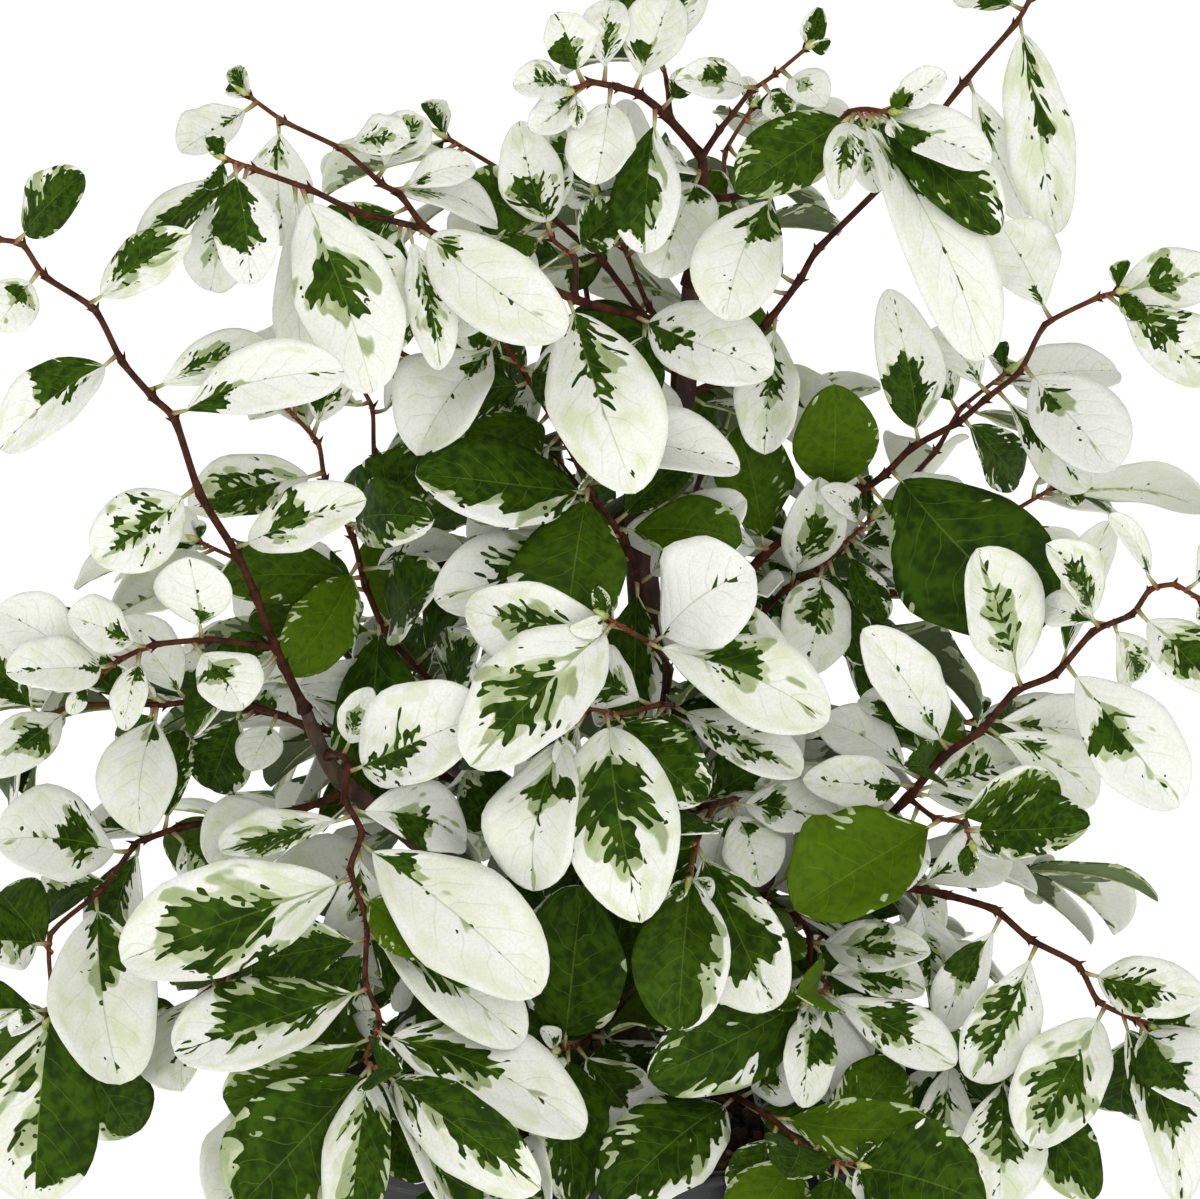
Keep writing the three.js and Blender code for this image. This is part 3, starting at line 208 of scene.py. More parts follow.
    leaves=[[4, 80, -121, -52, 17, 0.4], [3, 68, -116, -42, 11, 0.05], [4, 99, -120, -46, 13, 0.8],
      [2, 50, -108, -28, 14, 0.5], [1, 66, -72, 6, 13, 0.4]]),
  dict(spray="spray_left_long", thick=[3.4, 1.8],
    route=[[-59, -22, -30], [-63.4, -13, -34], [-65, -9.4, -36], [-69, 1, -40], [-72.6, 9, -42],
      [-80, 21, -46], [-85, 36, -48], [-89.4, 40.4, -50], [-95.6, 47.6, -51], [-101, 58, -52],
      [-111, 64.6, -53], [-115.4, 71, -54], [-120, 72, -55], [-124, 73, -56]],
    leaves=[[11, -104, 85, -64, 11, 0.85], [10, -121, 54, -62, 10, 0.5], [9, -82.6, 73, -62, 10, 0.4],
      [8, -120, 30, -62, 12, 0.45], [6, -51, 45.6, -62, 13, 0.5], [7, -67, 52, -38, 9, 0.05],
      [5, -101, 8, -58, 15, 0.08], [4, -48, 20.4, -58, 12, 0.35], [13, -140, 84, -60, 9, 0.3],
      [13, -142, 64, -66, 10, 0.4]]),
  dict(spray="spray_left_long", thick=[2.4, 1.6],
    route=[[-65, -9.4, -36], [-69, -9, -40], [-78, -8, -46], [-89, -9, -50], [-96, -12, -53],
      [-99.6, -15, -55], [-102, -16, -56]],
    leaves=[[2, -82.4, 8.4, -54, 14.4, 0.2], [3, -106, -3, -62, 11, 0.15], [6, -121, -2, -54, 13, 0.05],
      [4, -118, -14, -70, 12, 0.35], [2, -71.4, -21.6, -58, 13, 0.4], [3, -95, -26, -64, 7, 0.3]]),
  dict(spray="spray_left_mid", thick=[2.6, 1.6],
    route=[[-57, -26.5, -28], [-63, -23.5, -22], [-70, -21, -22], [-79, -20, -25], [-87, -21, -28],
      [-104, -21, -33], [-110, -23, -36], [-117, -27.4, -38], [-126, -30, -41]],
    leaves=[[4, -92, -47, -42, 15, 0.25], [6, -124, -10, -36, 9, 0.7], [5, -122, -34, -46, 10, 0.5],
      [1, -70, -34, -34, 9, 0.1], [2, -78, -38, -18, 13, 0.9], [3, -66, -8, -14, 11, 0.7],
      [8, -143, -36, -46, 10, 0.4], [3, -96, -4, -14, 12, 0.4]]),
  dict(spray="spray_left_low", thick=[2.8, 1.6],
    route=[[-50, -38, -22], [-60, -42, -24], [-70, -43, -27], [-84, -45.6, -31], [-91, -48, -33],
      [-93, -49, -34], [-99.6, -58, -38], [-110, -67, -43], [-109.6, -80, -48], [-110.4, -83, -49]],
    leaves=[[5, -121, -48, -50, 19, 0.4], [6, -96, -97, -58, 20, 0.3], [4, -96, -72, -22, 13, 0.5],
      [3, -74, -58, -40, 12, 0.7], [7, -124, -68, -54, 14, 0.7], [7, -120, -58, -28, 14, 0.9],
      [9, -113, -121, -66, 24, 0.75], [8, -128, -84, -38, 12, 0.6], [9, -93, -108, -42, 16, 0.9],
      [1, -78, -52, -46, 16, 0.1], [3, -84, -26, -24, 9, 0.8], [2, -84, -55, -14, 12, 1]]),
  dict(spray="spray_left_behind", thick=[3, 1.6],
    route=[[7.6, -52, 2], [-10, -38, 6], [-28, -22, 2], [-42, -8, -4], [-47, 3, -6], [-49.4, 12.4, -8],
      [-55, 24, -12], [-56.4, 31.4, -14], [-63.4, 39, -16]],
    leaves=[[6, -82, 19, -26, 13, 0.5], [7, -50, 52, -14, 9, 0.5], [4, -76, 4, -18, 13, 1],
      [3, -70, -4, -10, 10, 0.9], [3, -33, 5, -26, 16, 0.7], [4, -27, 10, -8, 8, 0.05],
      [5, -34, 29, -20, 15, 1], [5, -34, 16, -22, 13, 0.8], [8, -74, 52, -14, 12, 0.2],
      [8, -60, 57, -6, 13, 0.6], [2, -60, -17, -12, 9, 0.05], [2, -24, -8, -22, 13, 0.6],
      [1, -28, -44, -6, 14, 0.8], [3, -46, -42, -8, 17, 1], [4, -62, -15, -8, 13, 1]]),
  dict(spray="spray_front_left", thick=[2.8, 1.6],
    route=[[-54.5, -31, -27], [-52, -31, -36], [-50.4, -33, -42], [-51, -40, -48], [-47.6, -46.6, -52],
      [-50, -54, -56], [-46.6, -64.4, -60], [-47, -76, -64], [-44, -84.4, -66], [-47, -92, -68],
      [-42, -96, -70]],
    leaves=[[2, -22.4, -22.4, -56, 19, 0.1], [1, -46, -18, -42, 7, 0.15], [5, -95.6, -71.6, -74, 21, 0.45],
      [4, -12, -77.6, -76, 22, 0.25], [7, -85, -90.4, -82, 19, 0.55], [6, -15, -88, -68, 16, 0.35],
      [8, -3, -107, -82, 20, 0.4], [10, -12, -117.4, -92, 15, 0.6], [9, -72, -121, -84, 24, 0.8],
      [8, -75, -101, -66, 16, 0.9], [10, -26, -128, -82, 12, 0.5], [10, -50, -128, -90, 13, 0.5],
      [3, -26, -48, -42, 14, 0.5], [3, -76, -50, -58, 14, 0.3], [6, -70, -72, -48, 14, 0.8]]),
]

# Stems of the sides, the back and the skirt: where they leave the wood as seen, compass angle
# and rise in degrees, length, and how green their leaves are
FILL_STEMS = [
  dict(start=[-38, -26, 46], angle=138, rise=38, length=68, green=0.4),
  dict(start=[-34, -29, 43], angle=105, rise=62, length=94, green=0.3),
  dict(start=[-26, -36, 36], angle=120, rise=30, length=80, green=0.5),
  dict(start=[-20, -41, 31], angle=180, rise=30, length=94, green=0.5),
  dict(start=[-14, -47, 24], angle=140, rise=5, length=80, green=0.7),
  dict(start=[44, -12, 42], angle=50, rise=52, length=84, green=0.3),
  dict(start=[40, -17, 37], angle=12, rise=46, length=68, green=0.4),
  dict(start=[33, -25, 29.5], angle=80, rise=28, length=84, green=0.4),
  dict(start=[24, -36, 18], angle=34, rise=12, length=70, green=0.6),
  dict(start=[28, -31, 23], angle=95, rise=8, length=80, green=0.6),
  dict(start=[17, 46, 2.5], angle=125, rise=58, length=68, green=0.3),
  dict(start=[14.5, 34, 3.5], angle=74, rise=56, length=84, green=0.3),
  dict(start=[10, 23, 3.5], angle=95, rise=46, length=84, green=0.35),
  dict(start=[8.4, 8, 3], angle=150, rise=44, length=82, green=0.4),
  dict(start=[9, -2, 3], angle=66, rise=36, length=82, green=0.4),
  dict(start=[7.5, -34, 3], angle=110, rise=30, length=80, green=0.55),
  dict(start=[7.6, -50, 2.5], angle=70, rise=15, length=80, green=0.7),
  dict(start=[8, -66, 2], angle=98, rise=2, length=80, green=0.75),
  dict(start=[14, -69, 0], angle=45, rise=0, length=84, green=0.75),
  dict(start=[-4, -75, -5], angle=150, rise=0, length=84, green=0.75),
  dict(start=[42, -54, -10], angle=30, rise=0, length=54, green=0.7),
  dict(start=[-24, -58, -11], angle=200, rise=-4, length=66, green=0.7),
  dict(start=[-12, -67, -7], angle=244, rise=-8, length=66, green=0.75),
  dict(start=[10, -86, 1], angle=318, rise=-6, length=74, green=0.8),
  dict(start=[9, -94, 0.5], angle=272, rise=-4, length=66, green=0.8),
]
FILL_STEM_THICK = (2.8, 1.6)
NODE_STEP, ZIGZAG, STEM_SAG = 13.5, 11, 5.5
TIP_SPREAD, SIDE_SPREAD, LEAF_DROP = (14, 34), (44, 68), (-42, 4)
FILL_LENGTH, FILL_SLIMNESS, LAST_SHORTER = (27, 37), (0.5, 0.64), 0.85
GREEN_SWING = (-0.45, 0.4)
STEM_TURNS = [0, 7, -7, 14, -14, 22, -22, 32, -32]
STEM_LIFTS = [0, 7, -7, 14, -14, 24]
TIP_SHIFTS = [0, 4, -4, 8, -8, 12, -12, 17, -17, 22]
BLADE_TURNS = [0, 22, -22]
STALK, LEAF_SPACING = 3.2, 1.7
SEEN_FACE = Vector((0, -0.82, 0.57))
LISTED_WIDER, LARGE_WIDTH = 1.06, 12
LISTED_BEND, FILL_BEND = (14, (0.06, 0.26)), (25, (0.08, 0.3))
ARCH, SWAY = (0.03, 0.1), (-0.04, 0.04)
LAST_STATION, LAST_LARGE_STATION = 0.76, 0.85
SAME_PLACE = 0.03


def seen(place):
    across, up, back = place
    through = VIEW_POINT + VIEW_UP * up
    through.x += across
    return VIEWER.lerp(through, (back - VIEWER.y) / (through.y - VIEWER.y))


def lerp(low, high, share):
    return low + (high - low) * share


def clamp(value, low=0.0, high=1.0):
    return max(low, min(high, value))


class Draws:
    """The solids' own repeatable draws, so that each leaf here has the bend its solid has."""

    drawn = 20011
    STEP, ROUND = 48271, 2147483647

    @classmethod
    def between(cls, low, high):
        cls.drawn = (cls.drawn * cls.STEP) % cls.ROUND
        return low + (high - low) * cls.drawn / cls.ROUND


def leaf_base(route, node, count):
    towards = route[node + 1] if node + 1 < len(route) else route[node - 1]
    return route[node] + (towards - route[node]).normalized() * (LEAF_SPACING * (count + 1))


def drawn_bend(roll, cup):
    between = Draws.between
    return {"roll": between(-roll, roll), "arch": between(*ARCH), "cup": between(*cup),
            "sway": between(*SWAY)}


def listed_leaves(stem, route):
    last = len(route) - 1
    counts = [0] * len(route)
    leaves = []
    for node, across, up, back, width, green in stem["leaves"]:
        leaves.append({"base": leaf_base(route, node, counts[node]), "tip": seen((across, up, back)),
                       "stem_radius": lerp(*stem["thick"], node / last) / 2,
                       "width": width * LISTED_WIDER, "green": green, "face": SEEN_FACE,
                       "large": width > LARGE_WIDTH, **drawn_bend(*LISTED_BEND)})
        counts[node] += 1
    return leaves


def fill_route(stem, turn, lift):
    point = seen(stem["start"])
    route = [point.copy()]
    for step in range(round(stem["length"] / NODE_STEP)):
        heading = math.radians(stem["angle"] + turn + (ZIGZAG if step % 2 == 0 else -ZIGZAG))
        climb = math.radians(stem["rise"] + lift - STEM_SAG * step)
        point = point + NODE_STEP * Vector((math.cos(climb) * math.cos(heading),
                                            math.cos(climb) * math.sin(heading), math.sin(climb)))
        route.append(point.copy())
    return route


def fill_leaves(route, green):
    between = Draws.between
    last = len(route) - 1
    leaves = []
    for node in range(1, last + 2):
        at = min(node, last)
        ahead = route[at] - route[at - 1]
        hand = 1 if node % 2 == 0 else -1
        spread = math.radians(between(*TIP_SPREAD) if node > last - 1 else between(*SIDE_SPREAD))
        drop = math.radians(between(*LEAF_DROP))
        length = between(*FILL_LENGTH) * (LAST_SHORTER if node > last else 1)
        heading = math.atan2(ahead.y, ahead.x) + hand * spread
        direction = Vector((math.cos(drop) * math.cos(heading), math.cos(drop) * math.sin(heading),
                            math.sin(drop)))
        outward = Vector((route[at].x, route[at].y, 0)).normalized()
        width = length * between(*FILL_SLIMNESS)
        leaves.append({"base": leaf_base(route, at, 1 if node > last else 0),
                       "tip": route[at] + direction * length,
                       "stem_radius": lerp(*FILL_STEM_THICK, at / last) / 2, "width": width,
                       "green": clamp(green + between(*GREEN_SWING)),
                       "face": outward * 0.6 + Vector((0, 0, 0.8)), "large": False,
                       **drawn_bend(*FILL_BEND)})
    return leaves


def outline(t, fullness=0.62, middle=0.92):
    return max(math.sin(math.pi * t ** middle), 0) ** fullness


def set_leaf(leaf, tip, turn):
    """Fixes where a leaf's stalk ends and which way its blade lies, for one place of its tip."""
    along = tip - leaf["base"]
    leaf["length"] = along.length
    along.normalize()
    face = (leaf["face"] - along * leaf["face"].dot(along)).normalized()
    face = Quaternion(along, math.radians(leaf["roll"] + turn)) @ face
    leaf.update(along=along, face_set=face, side=face.cross(along),
                stalk=leaf["base"] + along * (leaf["stem_radius"] + STALK), tip_set=tip)


def midrib(leaf, t):
    rise = 4 * t * (1 - t) * leaf["length"]
    return (leaf["stalk"].lerp(leaf["tip_set"], t) + leaf["face_set"] * (leaf["arch"] * rise)
            + leaf["side"] * (leaf["sway"] * rise))


def edge_corner(leaf):
    """The corner that the leaf's solid has on its last section."""
    t = LAST_LARGE_STATION if leaf["large"] else LAST_STATION
    half = leaf["width"] / 2 * outline(t)
    return midrib(leaf, t) + leaf["side"] * half + leaf["face_set"] * (leaf["cup"] * half)


class Solid:
    """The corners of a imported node, to find out which of the possible places a part of it took."""

    def __init__(self, node):
        corners = {tuple(round(c, 7) for c in v.co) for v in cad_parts[node].data.vertices}
        self.tree = kdtree.KDTree(len(corners))
        for index, corner in enumerate(sorted(corners)):
            self.tree.insert(Vector(corner) / MM, index)
        self.tree.balance()

    def has(self, corner):
        return self.tree.find(corner)[2] < SAME_PLACE


def settle_leaf(leaf, solid):
    for shift in TIP_SHIFTS:
        tip = leaf["tip"] + TO_VIEWER * shift
        if not solid.has(tip):
            continue
        for turn in BLADE_TURNS:
            set_leaf(leaf, tip, turn)
            if solid.has(edge_corner(leaf)):
                return True
    return False


def pointed_end(route, thick):
    return route[-1] + (route[-1] - route[-2]).normalized() * (thick[1] * 0.8)


def lay_out_sprays():
    """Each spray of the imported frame: its stems (route and thickness) and its settled leaves."""
    sprays = {}
    for stem in STEMS:
        route = [seen(node) for node in stem["route"]]
        spray = sprays.setdefault(stem["spray"], {"stems": [], "leaves": []})
        spray["stems"].append((route, stem["thick"]))
        spray["leaves"] += listed_leaves(stem, route)
    for index, stem in enumerate(FILL_STEMS):
        name = f"spray_fill_{index + 1:02d}"
        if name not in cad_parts:
            continue
        solid = Solid(name)
        routes = (fill_route(stem, turn, lift) for lift in STEM_LIFTS for turn in STEM_TURNS)
        route = next(r for r in routes if solid.has(pointed_end(r, FILL_STEM_THICK)))
        sprays[name] = {"stems": [(route, FILL_STEM_THICK)], "leaves": fill_leaves(route, stem["green"])}
    for name, spray in sprays.items():
        solid = Solid(name)
        spray["leaves"] = [leaf for leaf in spray["leaves"] if settle_leaf(leaf, solid)]
    return sprays


# Small leaves of the crown's inside, which the solids leave out. They close the parts of the crown
# that are thick with leaves from the front: across, up and radius of each part.
LEAFY_PARTS = [
    (-54, 68, 13), (-16, 76, 11), (18, 78, 13), (70, 86, 12), (65, 48, 9), (-52, 48, 10),
    (-24, 36, 15), (16, 40, 18), (42, 34, 9), (-42, 22, 10), (-64, 6, 9), (2, 10, 17), (28, 12, 17),
    (46, -2, 12), (71, 9, 15), (-28, -2, 18), (-100, -8, 11), (-84, -28, 11), (-50, -26, 9),
    (-8, -26, 38), (40, -42, 19), (72, -30, 11), (-118, -40, 8), (-106, -52, 13), (-74, -64, 17),
    (-44, -70, 16), (52, -68, 17), (-108, -98, 16), (-54, -104, 22), (-28, -92, 18), (0, -98, 42),
    (60, -106, 25), (92, -94, 13), (118, -98, 12), (20, -120, 40),
]
COARSE_ROWS, COARSE_COLUMNS = (0.05, 0.22, 0.42, 0.62, 0.82, 0.97), (-1, -0.35, 0.35, 1)
COARSE_FACES = [(corner, corner + 1, corner + 5, corner + 4)
                for corner in range(20) if corner % 4 < 3]
COARSE_WIDER = 1.05
SHEETS = (-1.1, 0.0, 1.1)
INNER_PLACES, INNER_TRIES = (0.15, 0.4, 0.65, 0.9), 14
INNER_LENGTH, INNER_SLIMNESS, INNER_CUP, INNER_ROLL = (18, 33), (0.52, 0.68), (0.08, 0.3), (-30, 30)
INNER_GREENS = (0.15, 0.5, 0.8, 0.9, 1.0, 1.0)
SHOWING, INNER_SHOWING, INNER_HIDDEN = 0.2, 190, 90
MOST_AMISS = 0.1
BOX_CLEARANCE, LONGEST_REACH, STRIP_CLEARANCE = 3, 40, 0.4
YOUNG_LENGTH, YOUNG_SLIMNESS, YOUNG_CUP, YOUNG_ROLL = (5, 9), (0.42, 0.6), (0.3, 0.8), (-20, 20)
YOUNG_STEM_RADIUS = 0.6
BLADE_START = 1.0


def as_seen(point):
    """Across and up of a point, in the plane through VIEW_POINT that faces the viewer."""
    sight = point - VIEWER
    return Vector((sight.x, sight.dot(VIEW_UP))) * (VIEW_DISTANCE / -sight.dot(TO_VIEWER))


def coarse_blade(leaf, lift=0.0):
    points = []
    for t in COARSE_ROWS:
        half = leaf["width"] / 2 * outline(t) * COARSE_WIDER
        for q in COARSE_COLUMNS:
            points.append(midrib(leaf, t) + leaf["side"] * (q * half)
                          + leaf["face_set"] * (leaf["cup"] * half * abs(q) + lift))
    return points


def coarse_stem(route, thick):
    """Two crossing strips along each span of a stem."""
    points, faces = [], []
    last = len(route) - 1
    for span in range(last):
        start, end = route[span], route[span + 1]
        ahead = (end - start).normalized()
        out = ahead.orthogonal().normalized() * (lerp(*thick, span / last) / 2 + STRIP_CLEARANCE)
        for reach in (out, ahead.cross(out)):
            faces.append(tuple(range(len(points), len(points) + 4)))
            points += [start - reach, start + reach, end + reach, end - reach]
    return points, faces


class Crown:
    """What a new leaf keeps clear of: the leaves and stems of the solids, the wood, soil and pot."""

    def __init__(self, sprays):
        self.points, self.faces, self.is_front_leaf, self.added = [], [], [], []
        for name, spray in sprays.items():
            for leaf in spray["leaves"]:
                self.take(coarse_blade(leaf), COARSE_FACES, "fill" not in name)
            for route, thick in spray["stems"]:
                self.take(*coarse_stem(route, thick), False)
        for node in ("trunk", "soil", "pot"):
            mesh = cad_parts[node].data
            self.take([v.co / MM for v in mesh.vertices], [tuple(p.vertices) for p in mesh.polygons], False)
        self.tree = BVHTree.FromPolygons(self.points, self.faces)
        self.low, self.high = (Vector(corner) / MM for corner in CAD_BOX)

    def take(self, points, faces, is_front_leaf):
        start = len(self.points)
        self.points += points
        self.faces += [tuple(start + corner for corner in face) for face in faces]
        self.is_front_leaf += [is_front_leaf] * len(faces)

    def is_inside(self, point):
        return all(low + BOX_CLEARANCE < c < high - BOX_CLEARANCE
                   for c, low, high in zip(point, self.low, self.high))

    def room_for(self, leaf):
        """The leaf's middle and its own thick sheet where nothing meets it, or else nothing."""
        if not all(self.is_inside(point) for point in coarse_blade(leaf)):
            return None
        points, faces = [], []
        for lift in SHEETS:
            faces += [tuple(len(points) + corner for corner in face) for face in COARSE_FACES]
            points += coarse_blade(leaf, lift)
        body = BVHTree.FromPolygons(points, faces)
        if body.overlap(self.tree):
            return None
        centre = midrib(leaf, 0.5)
        near = (tree for other, tree in self.added if (centre - other).length < LONGEST_REACH)
        if any(body.overlap(tree) for tree in near):
            return None
        return centre, body

    def showing(self, leaf):
        """The share of the blade that shows from the front, and the share that shows amiss: over a
        leaf that the front already has, or outside the leafy parts."""
        shows = amiss = 0
        spots = coarse_blade(leaf)
        for spot in spots:
            if self.tree.ray_cast(spot, TO_VIEWER)[2] is not None:
                continue
            shows += 1
            seen_at = as_seen(spot)
            behind = self.tree.ray_cast(spot, -TO_VIEWER)[2]
            if behind is not None and self.is_front_leaf[behind]:
                amiss += 1
            elif not any((seen_at - Vector(part[:2])).length < part[2] for part in LEAFY_PARTS):
                amiss += 1
        return shows / len(spots), amiss / len(spots)


def inner_leaf(start, ahead, radius, chance):
    """One try at a leaf that starts from a stem's middle."""
    around = Quaternion(ahead, chance.uniform(0, 2 * math.pi)) @ ahead.orthogonal().normalized()
    droop = Vector((0, 0, -chance.uniform(-0.1, 0.7)))
    direction = (around + ahead * chance.uniform(0.1, 0.9) + droop).normalized()
    length = chance.uniform(*INNER_LENGTH)
    outward = Vector((start.x, start.y, 0)).normalized()
    leaf = {"base": start, "stem_radius": radius, "width": length * chance.uniform(*INNER_SLIMNESS),
            "green": clamp(chance.choice(INNER_GREENS) + chance.uniform(-0.1, 0.1)),
            "face": outward * 0.5 + Vector((0, 0, 0.7)) + TO_VIEWER * chance.uniform(0, 0.9),
            "roll": chance.uniform(*INNER_ROLL), "arch": chance.uniform(*ARCH),
            "cup": chance.uniform(*INNER_CUP), "sway": chance.uniform(*SWAY), "large": False}
    set_leaf(leaf, start + direction * length, 0)
    return leaf


def stem_places(sprays, chance):
    """Places along every stem where a leaf may start: the spray's name, the place itself, the way
    the stem runs there and its radius."""
    places = []
    for name, spray in sprays.items():
        for route, thick in spray["stems"]:
            last = len(route) - 1
            for span in range(last):
                ahead = (route[span + 1] - route[span]).normalized()
                for share in INNER_PLACES:
                    radius = lerp(*thick, (span + share) / last) / 2
                    places.append((name, route[span].lerp(route[span + 1], share), ahead, radius))
    chance.shuffle(places)
    return places


def add_inner_leaves(sprays):
    chance = random.Random(5)
    crown = Crown(sprays)
    wanted = {True: INNER_SHOWING, False: INNER_HIDDEN}
    for name, start, ahead, radius in stem_places(sprays, chance):
        for _ in range(INNER_TRIES):
            leaf = inner_leaf(start, ahead, radius, chance)
            room = crown.room_for(leaf)
            if not room:
                continue
            shows, amiss = crown.showing(leaf)
            is_showing = shows > SHOWING
            if amiss <= MOST_AMISS and wanted[is_showing]:
                wanted[is_showing] -= 1
                crown.added.append(room)
                sprays[name]["leaves"].append(leaf)
                break


def add_young_leaves(sprays):
    """Two small half-open leaves beside the bud at the end of each shoot."""
    chance = random.Random(8)
    for spray in sprays.values():
        for route, _ in spray["stems"]:
            ahead = (route[-1] - route[-2]).normalized()
            aside = ahead.cross(TO_VIEWER).normalized()
            for hand in (-1, 1):
                direction = ahead * chance.uniform(0.4, 1) + aside * (hand * chance.uniform(0.4, 0.9))
                direction = (direction + Vector((0, 0, chance.uniform(-0.4, 0.3)))).normalized()
                length = chance.uniform(*YOUNG_LENGTH)
                leaf = {"base": route[-1], "stem_radius": YOUNG_STEM_RADIUS,
                        "width": length * chance.uniform(*YOUNG_SLIMNESS),
                        "green": chance.uniform(0.1, 1), "face": TO_VIEWER - ahead * 0.5,
                        "roll": chance.uniform(*YOUNG_ROLL), "arch": 0.1,
                        "cup": chance.uniform(*YOUNG_CUP), "sway": chance.uniform(-0.06, 0.06),
                        "large": False}
                set_leaf(leaf, route[-1] + direction * length, 0)
                leaf["stalk"] = leaf["base"] + leaf["along"] * (BLADE_START + 1)
                spray["leaves"].append(leaf)


def as_piece(bm, name, *materials):
    mesh = bpy.data.meshes.new(name)
    bm.to_mesh(mesh)
    bm.free()
    for material in materials:
        mesh.materials.append(material)
    piece = bpy.data.objects.new(name, mesh)
    bpy.context.scene.collection.objects.link(piece)
    return piece


# Leaves
BLADE_ACROSS, BLADE_ALONG = 10, 18
BLADE_THICK = 0.32
GROOVE_DEEP, GROOVE_WIDE = 0.28, 0.9
MARGIN_SWING, MARGIN_WAVES = 0.03, 9
CUP_POWER, CURL_START = 1.35, 0.55
BOX_MARGIN = 0.0005
SAME_CORNER = 1e-7


def draw_habit(chance):
    """How one blade differs from the plain oval: its outline, waves along the edge and curl."""
    return {"base": chance.uniform(0.54, 0.76), "tip": chance.uniform(0.4, 0.52),
            "middle": chance.uniform(0.98, 1.5), "fold": chance.choice((0, 0, 0.05, 0.12, 0.35)),
            "wave": chance.uniform(0.02, 0.15), "waves": chance.uniform(0.8, 2.2),
            "phase": chance.uniform(0, 2 * math.pi), "curl": chance.uniform(-0.1, 0.3),
            "lean": chance.uniform(-0.05, 0.05), "seed": chance.random()}


def blade_point(leaf, habit, q, t):
    """A point of the blade: q runs from edge to edge (-1 to 1), t from the stalk to the tip."""
    share = abs(q)
    half = leaf["width"] / 2 * outline(t, lerp(habit["base"], habit["tip"], t), habit["middle"])
    half *= 1 + habit["lean"] * (1 if q > 0 else -1)
    turn = MARGIN_WAVES * t * habit["waves"] + 3 * habit["phase"] + (2 if q > 0 else 0)
    half *= 1 + MARGIN_SWING * math.sin(turn)
    rise = leaf["cup"] * half * share ** CUP_POWER + habit["fold"] * half * share
    rise -= GROOVE_DEEP * math.exp(-(q * half / GROOVE_WIDE) ** 2)
    turn = 2 * math.pi * habit["waves"] * t + habit["phase"] + (1.3 if q > 0 else 0)
    rise += habit["wave"] * half * math.sin(turn) * share ** 2
    rise -= habit["curl"] * leaf["length"] * max(t - CURL_START, 0) ** 2
    return midrib(leaf, t) + leaf["side"] * (q * half) + leaf["face_set"] * rise


def within_box(point):
    """The point itself, or the nearest place just inside the solids' own box."""
    return Vector([clamp(c, low + BOX_MARGIN, high - BOX_MARGIN)
                   for c, low, high in zip(point, *CAD_BOX)])


def add_blade(bm, leaf, habit, blade_map, kind_map):
    """A grid laid on the blade, with its rows closer together near the stalk and the tip."""
    grid = bmesh.ops.create_grid(bm, x_segments=BLADE_ACROSS, y_segments=BLADE_ALONG, size=1)
    verts = grid["verts"]
    spots = {v: (-v.co.x, (1 - math.cos(math.pi * (v.co.y + 1) / 2)) / 2) for v in verts}
    for face in {face for vert in verts for face in vert.link_faces}:
        face.smooth = True
        for loop in face.loops:
            q, t = spots[loop.vert]
            loop[blade_map].uv = (q / 2 + 0.5, t)
            loop[kind_map].uv = (habit["seed"], leaf["green"])
    for vert, (q, t) in spots.items():
        vert.co = within_box(blade_point(leaf, habit, q, t) * MM)
    bmesh.ops.remove_doubles(bm, verts=verts, dist=SAME_CORNER)


def make_leaves(name, leaves, chance):
    bm = bmesh.new()
    blade_map = bm.loops.layers.uv.new("blade")
    kind_map = bm.loops.layers.uv.new("kind")
    for leaf in leaves:
        leaf["habit"] = draw_habit(chance)
        leaf["stalk"] = leaf["stalk"] - leaf["along"] * BLADE_START
        add_blade(bm, leaf, leaf["habit"], blade_map, kind_map)
    piece = as_piece(bm, name, LEAF_UPPER, LEAF_UNDER)
    shell = piece.modifiers.new("blade thickness", "SOLIDIFY")
    shell.thickness = BLADE_THICK * MM
    shell.offset = -1
    shell.material_offset = 1
    return piece


# Stems, stalks, buds and wood: tubes that follow a path
def ring_frames(path, radii):
    """A matrix for each point of a path that sets a unit circle square to it, without twist."""
    across = Vector((0, 0, 1))
    frames = []
    for index, point in enumerate(path):
        ahead = (path[min(index + 1, len(path) - 1)] - path[max(index - 1, 0)]).normalized()
        across = across - ahead * across.dot(ahead)
        if across.length < 0.3:
            across = Vector((1, 0, 0)) - ahead * ahead.x
        across.normalize()
        turned = Matrix((across, ahead.cross(across), ahead)).transposed().to_4x4()
        size = Matrix.Diagonal((radii[index], radii[index], radii[index], 1))
        frames.append(Matrix.Scale(MM, 4) @ Matrix.Translation(point) @ turned @ size)
    return frames


def add_tube(bm, path, radii, sides, material=0, ages=None):
    """A closed tube through the path; ages run from 0 on young green wood to 1 on old bark."""
    frames = ring_frames(path, radii)
    age = bm.verts.layers.float["age"]
    start = bmesh.ops.create_circle(bm, cap_ends=True, segments=sides, radius=1, matrix=frames[0])
    ring = start["verts"]
    edges = list(ring[0].link_faces[0].edges)
    rings = [ring]
    for before, after in zip(frames, frames[1:]):
        grown = bmesh.ops.extrude_edge_only(bm, edges=edges)["geom"]
        ring = [part for part in grown if isinstance(part, bmesh.types.BMVert)]
        fresh = set(ring)
        edges = [part for part in grown if isinstance(part, bmesh.types.BMEdge)
                 and fresh.issuperset(part.verts)]
        bmesh.ops.transform(bm, matrix=after @ before.inverted(), verts=ring)
        rings.append(ring)
    bmesh.ops.contextual_create(bm, geom=edges)
    for index, ring in enumerate(rings):
        for vert in ring:
            vert[age] = ages[index] if ages else 1.0
            for face in vert.link_faces:
                face.smooth = True
                face.material_index = material


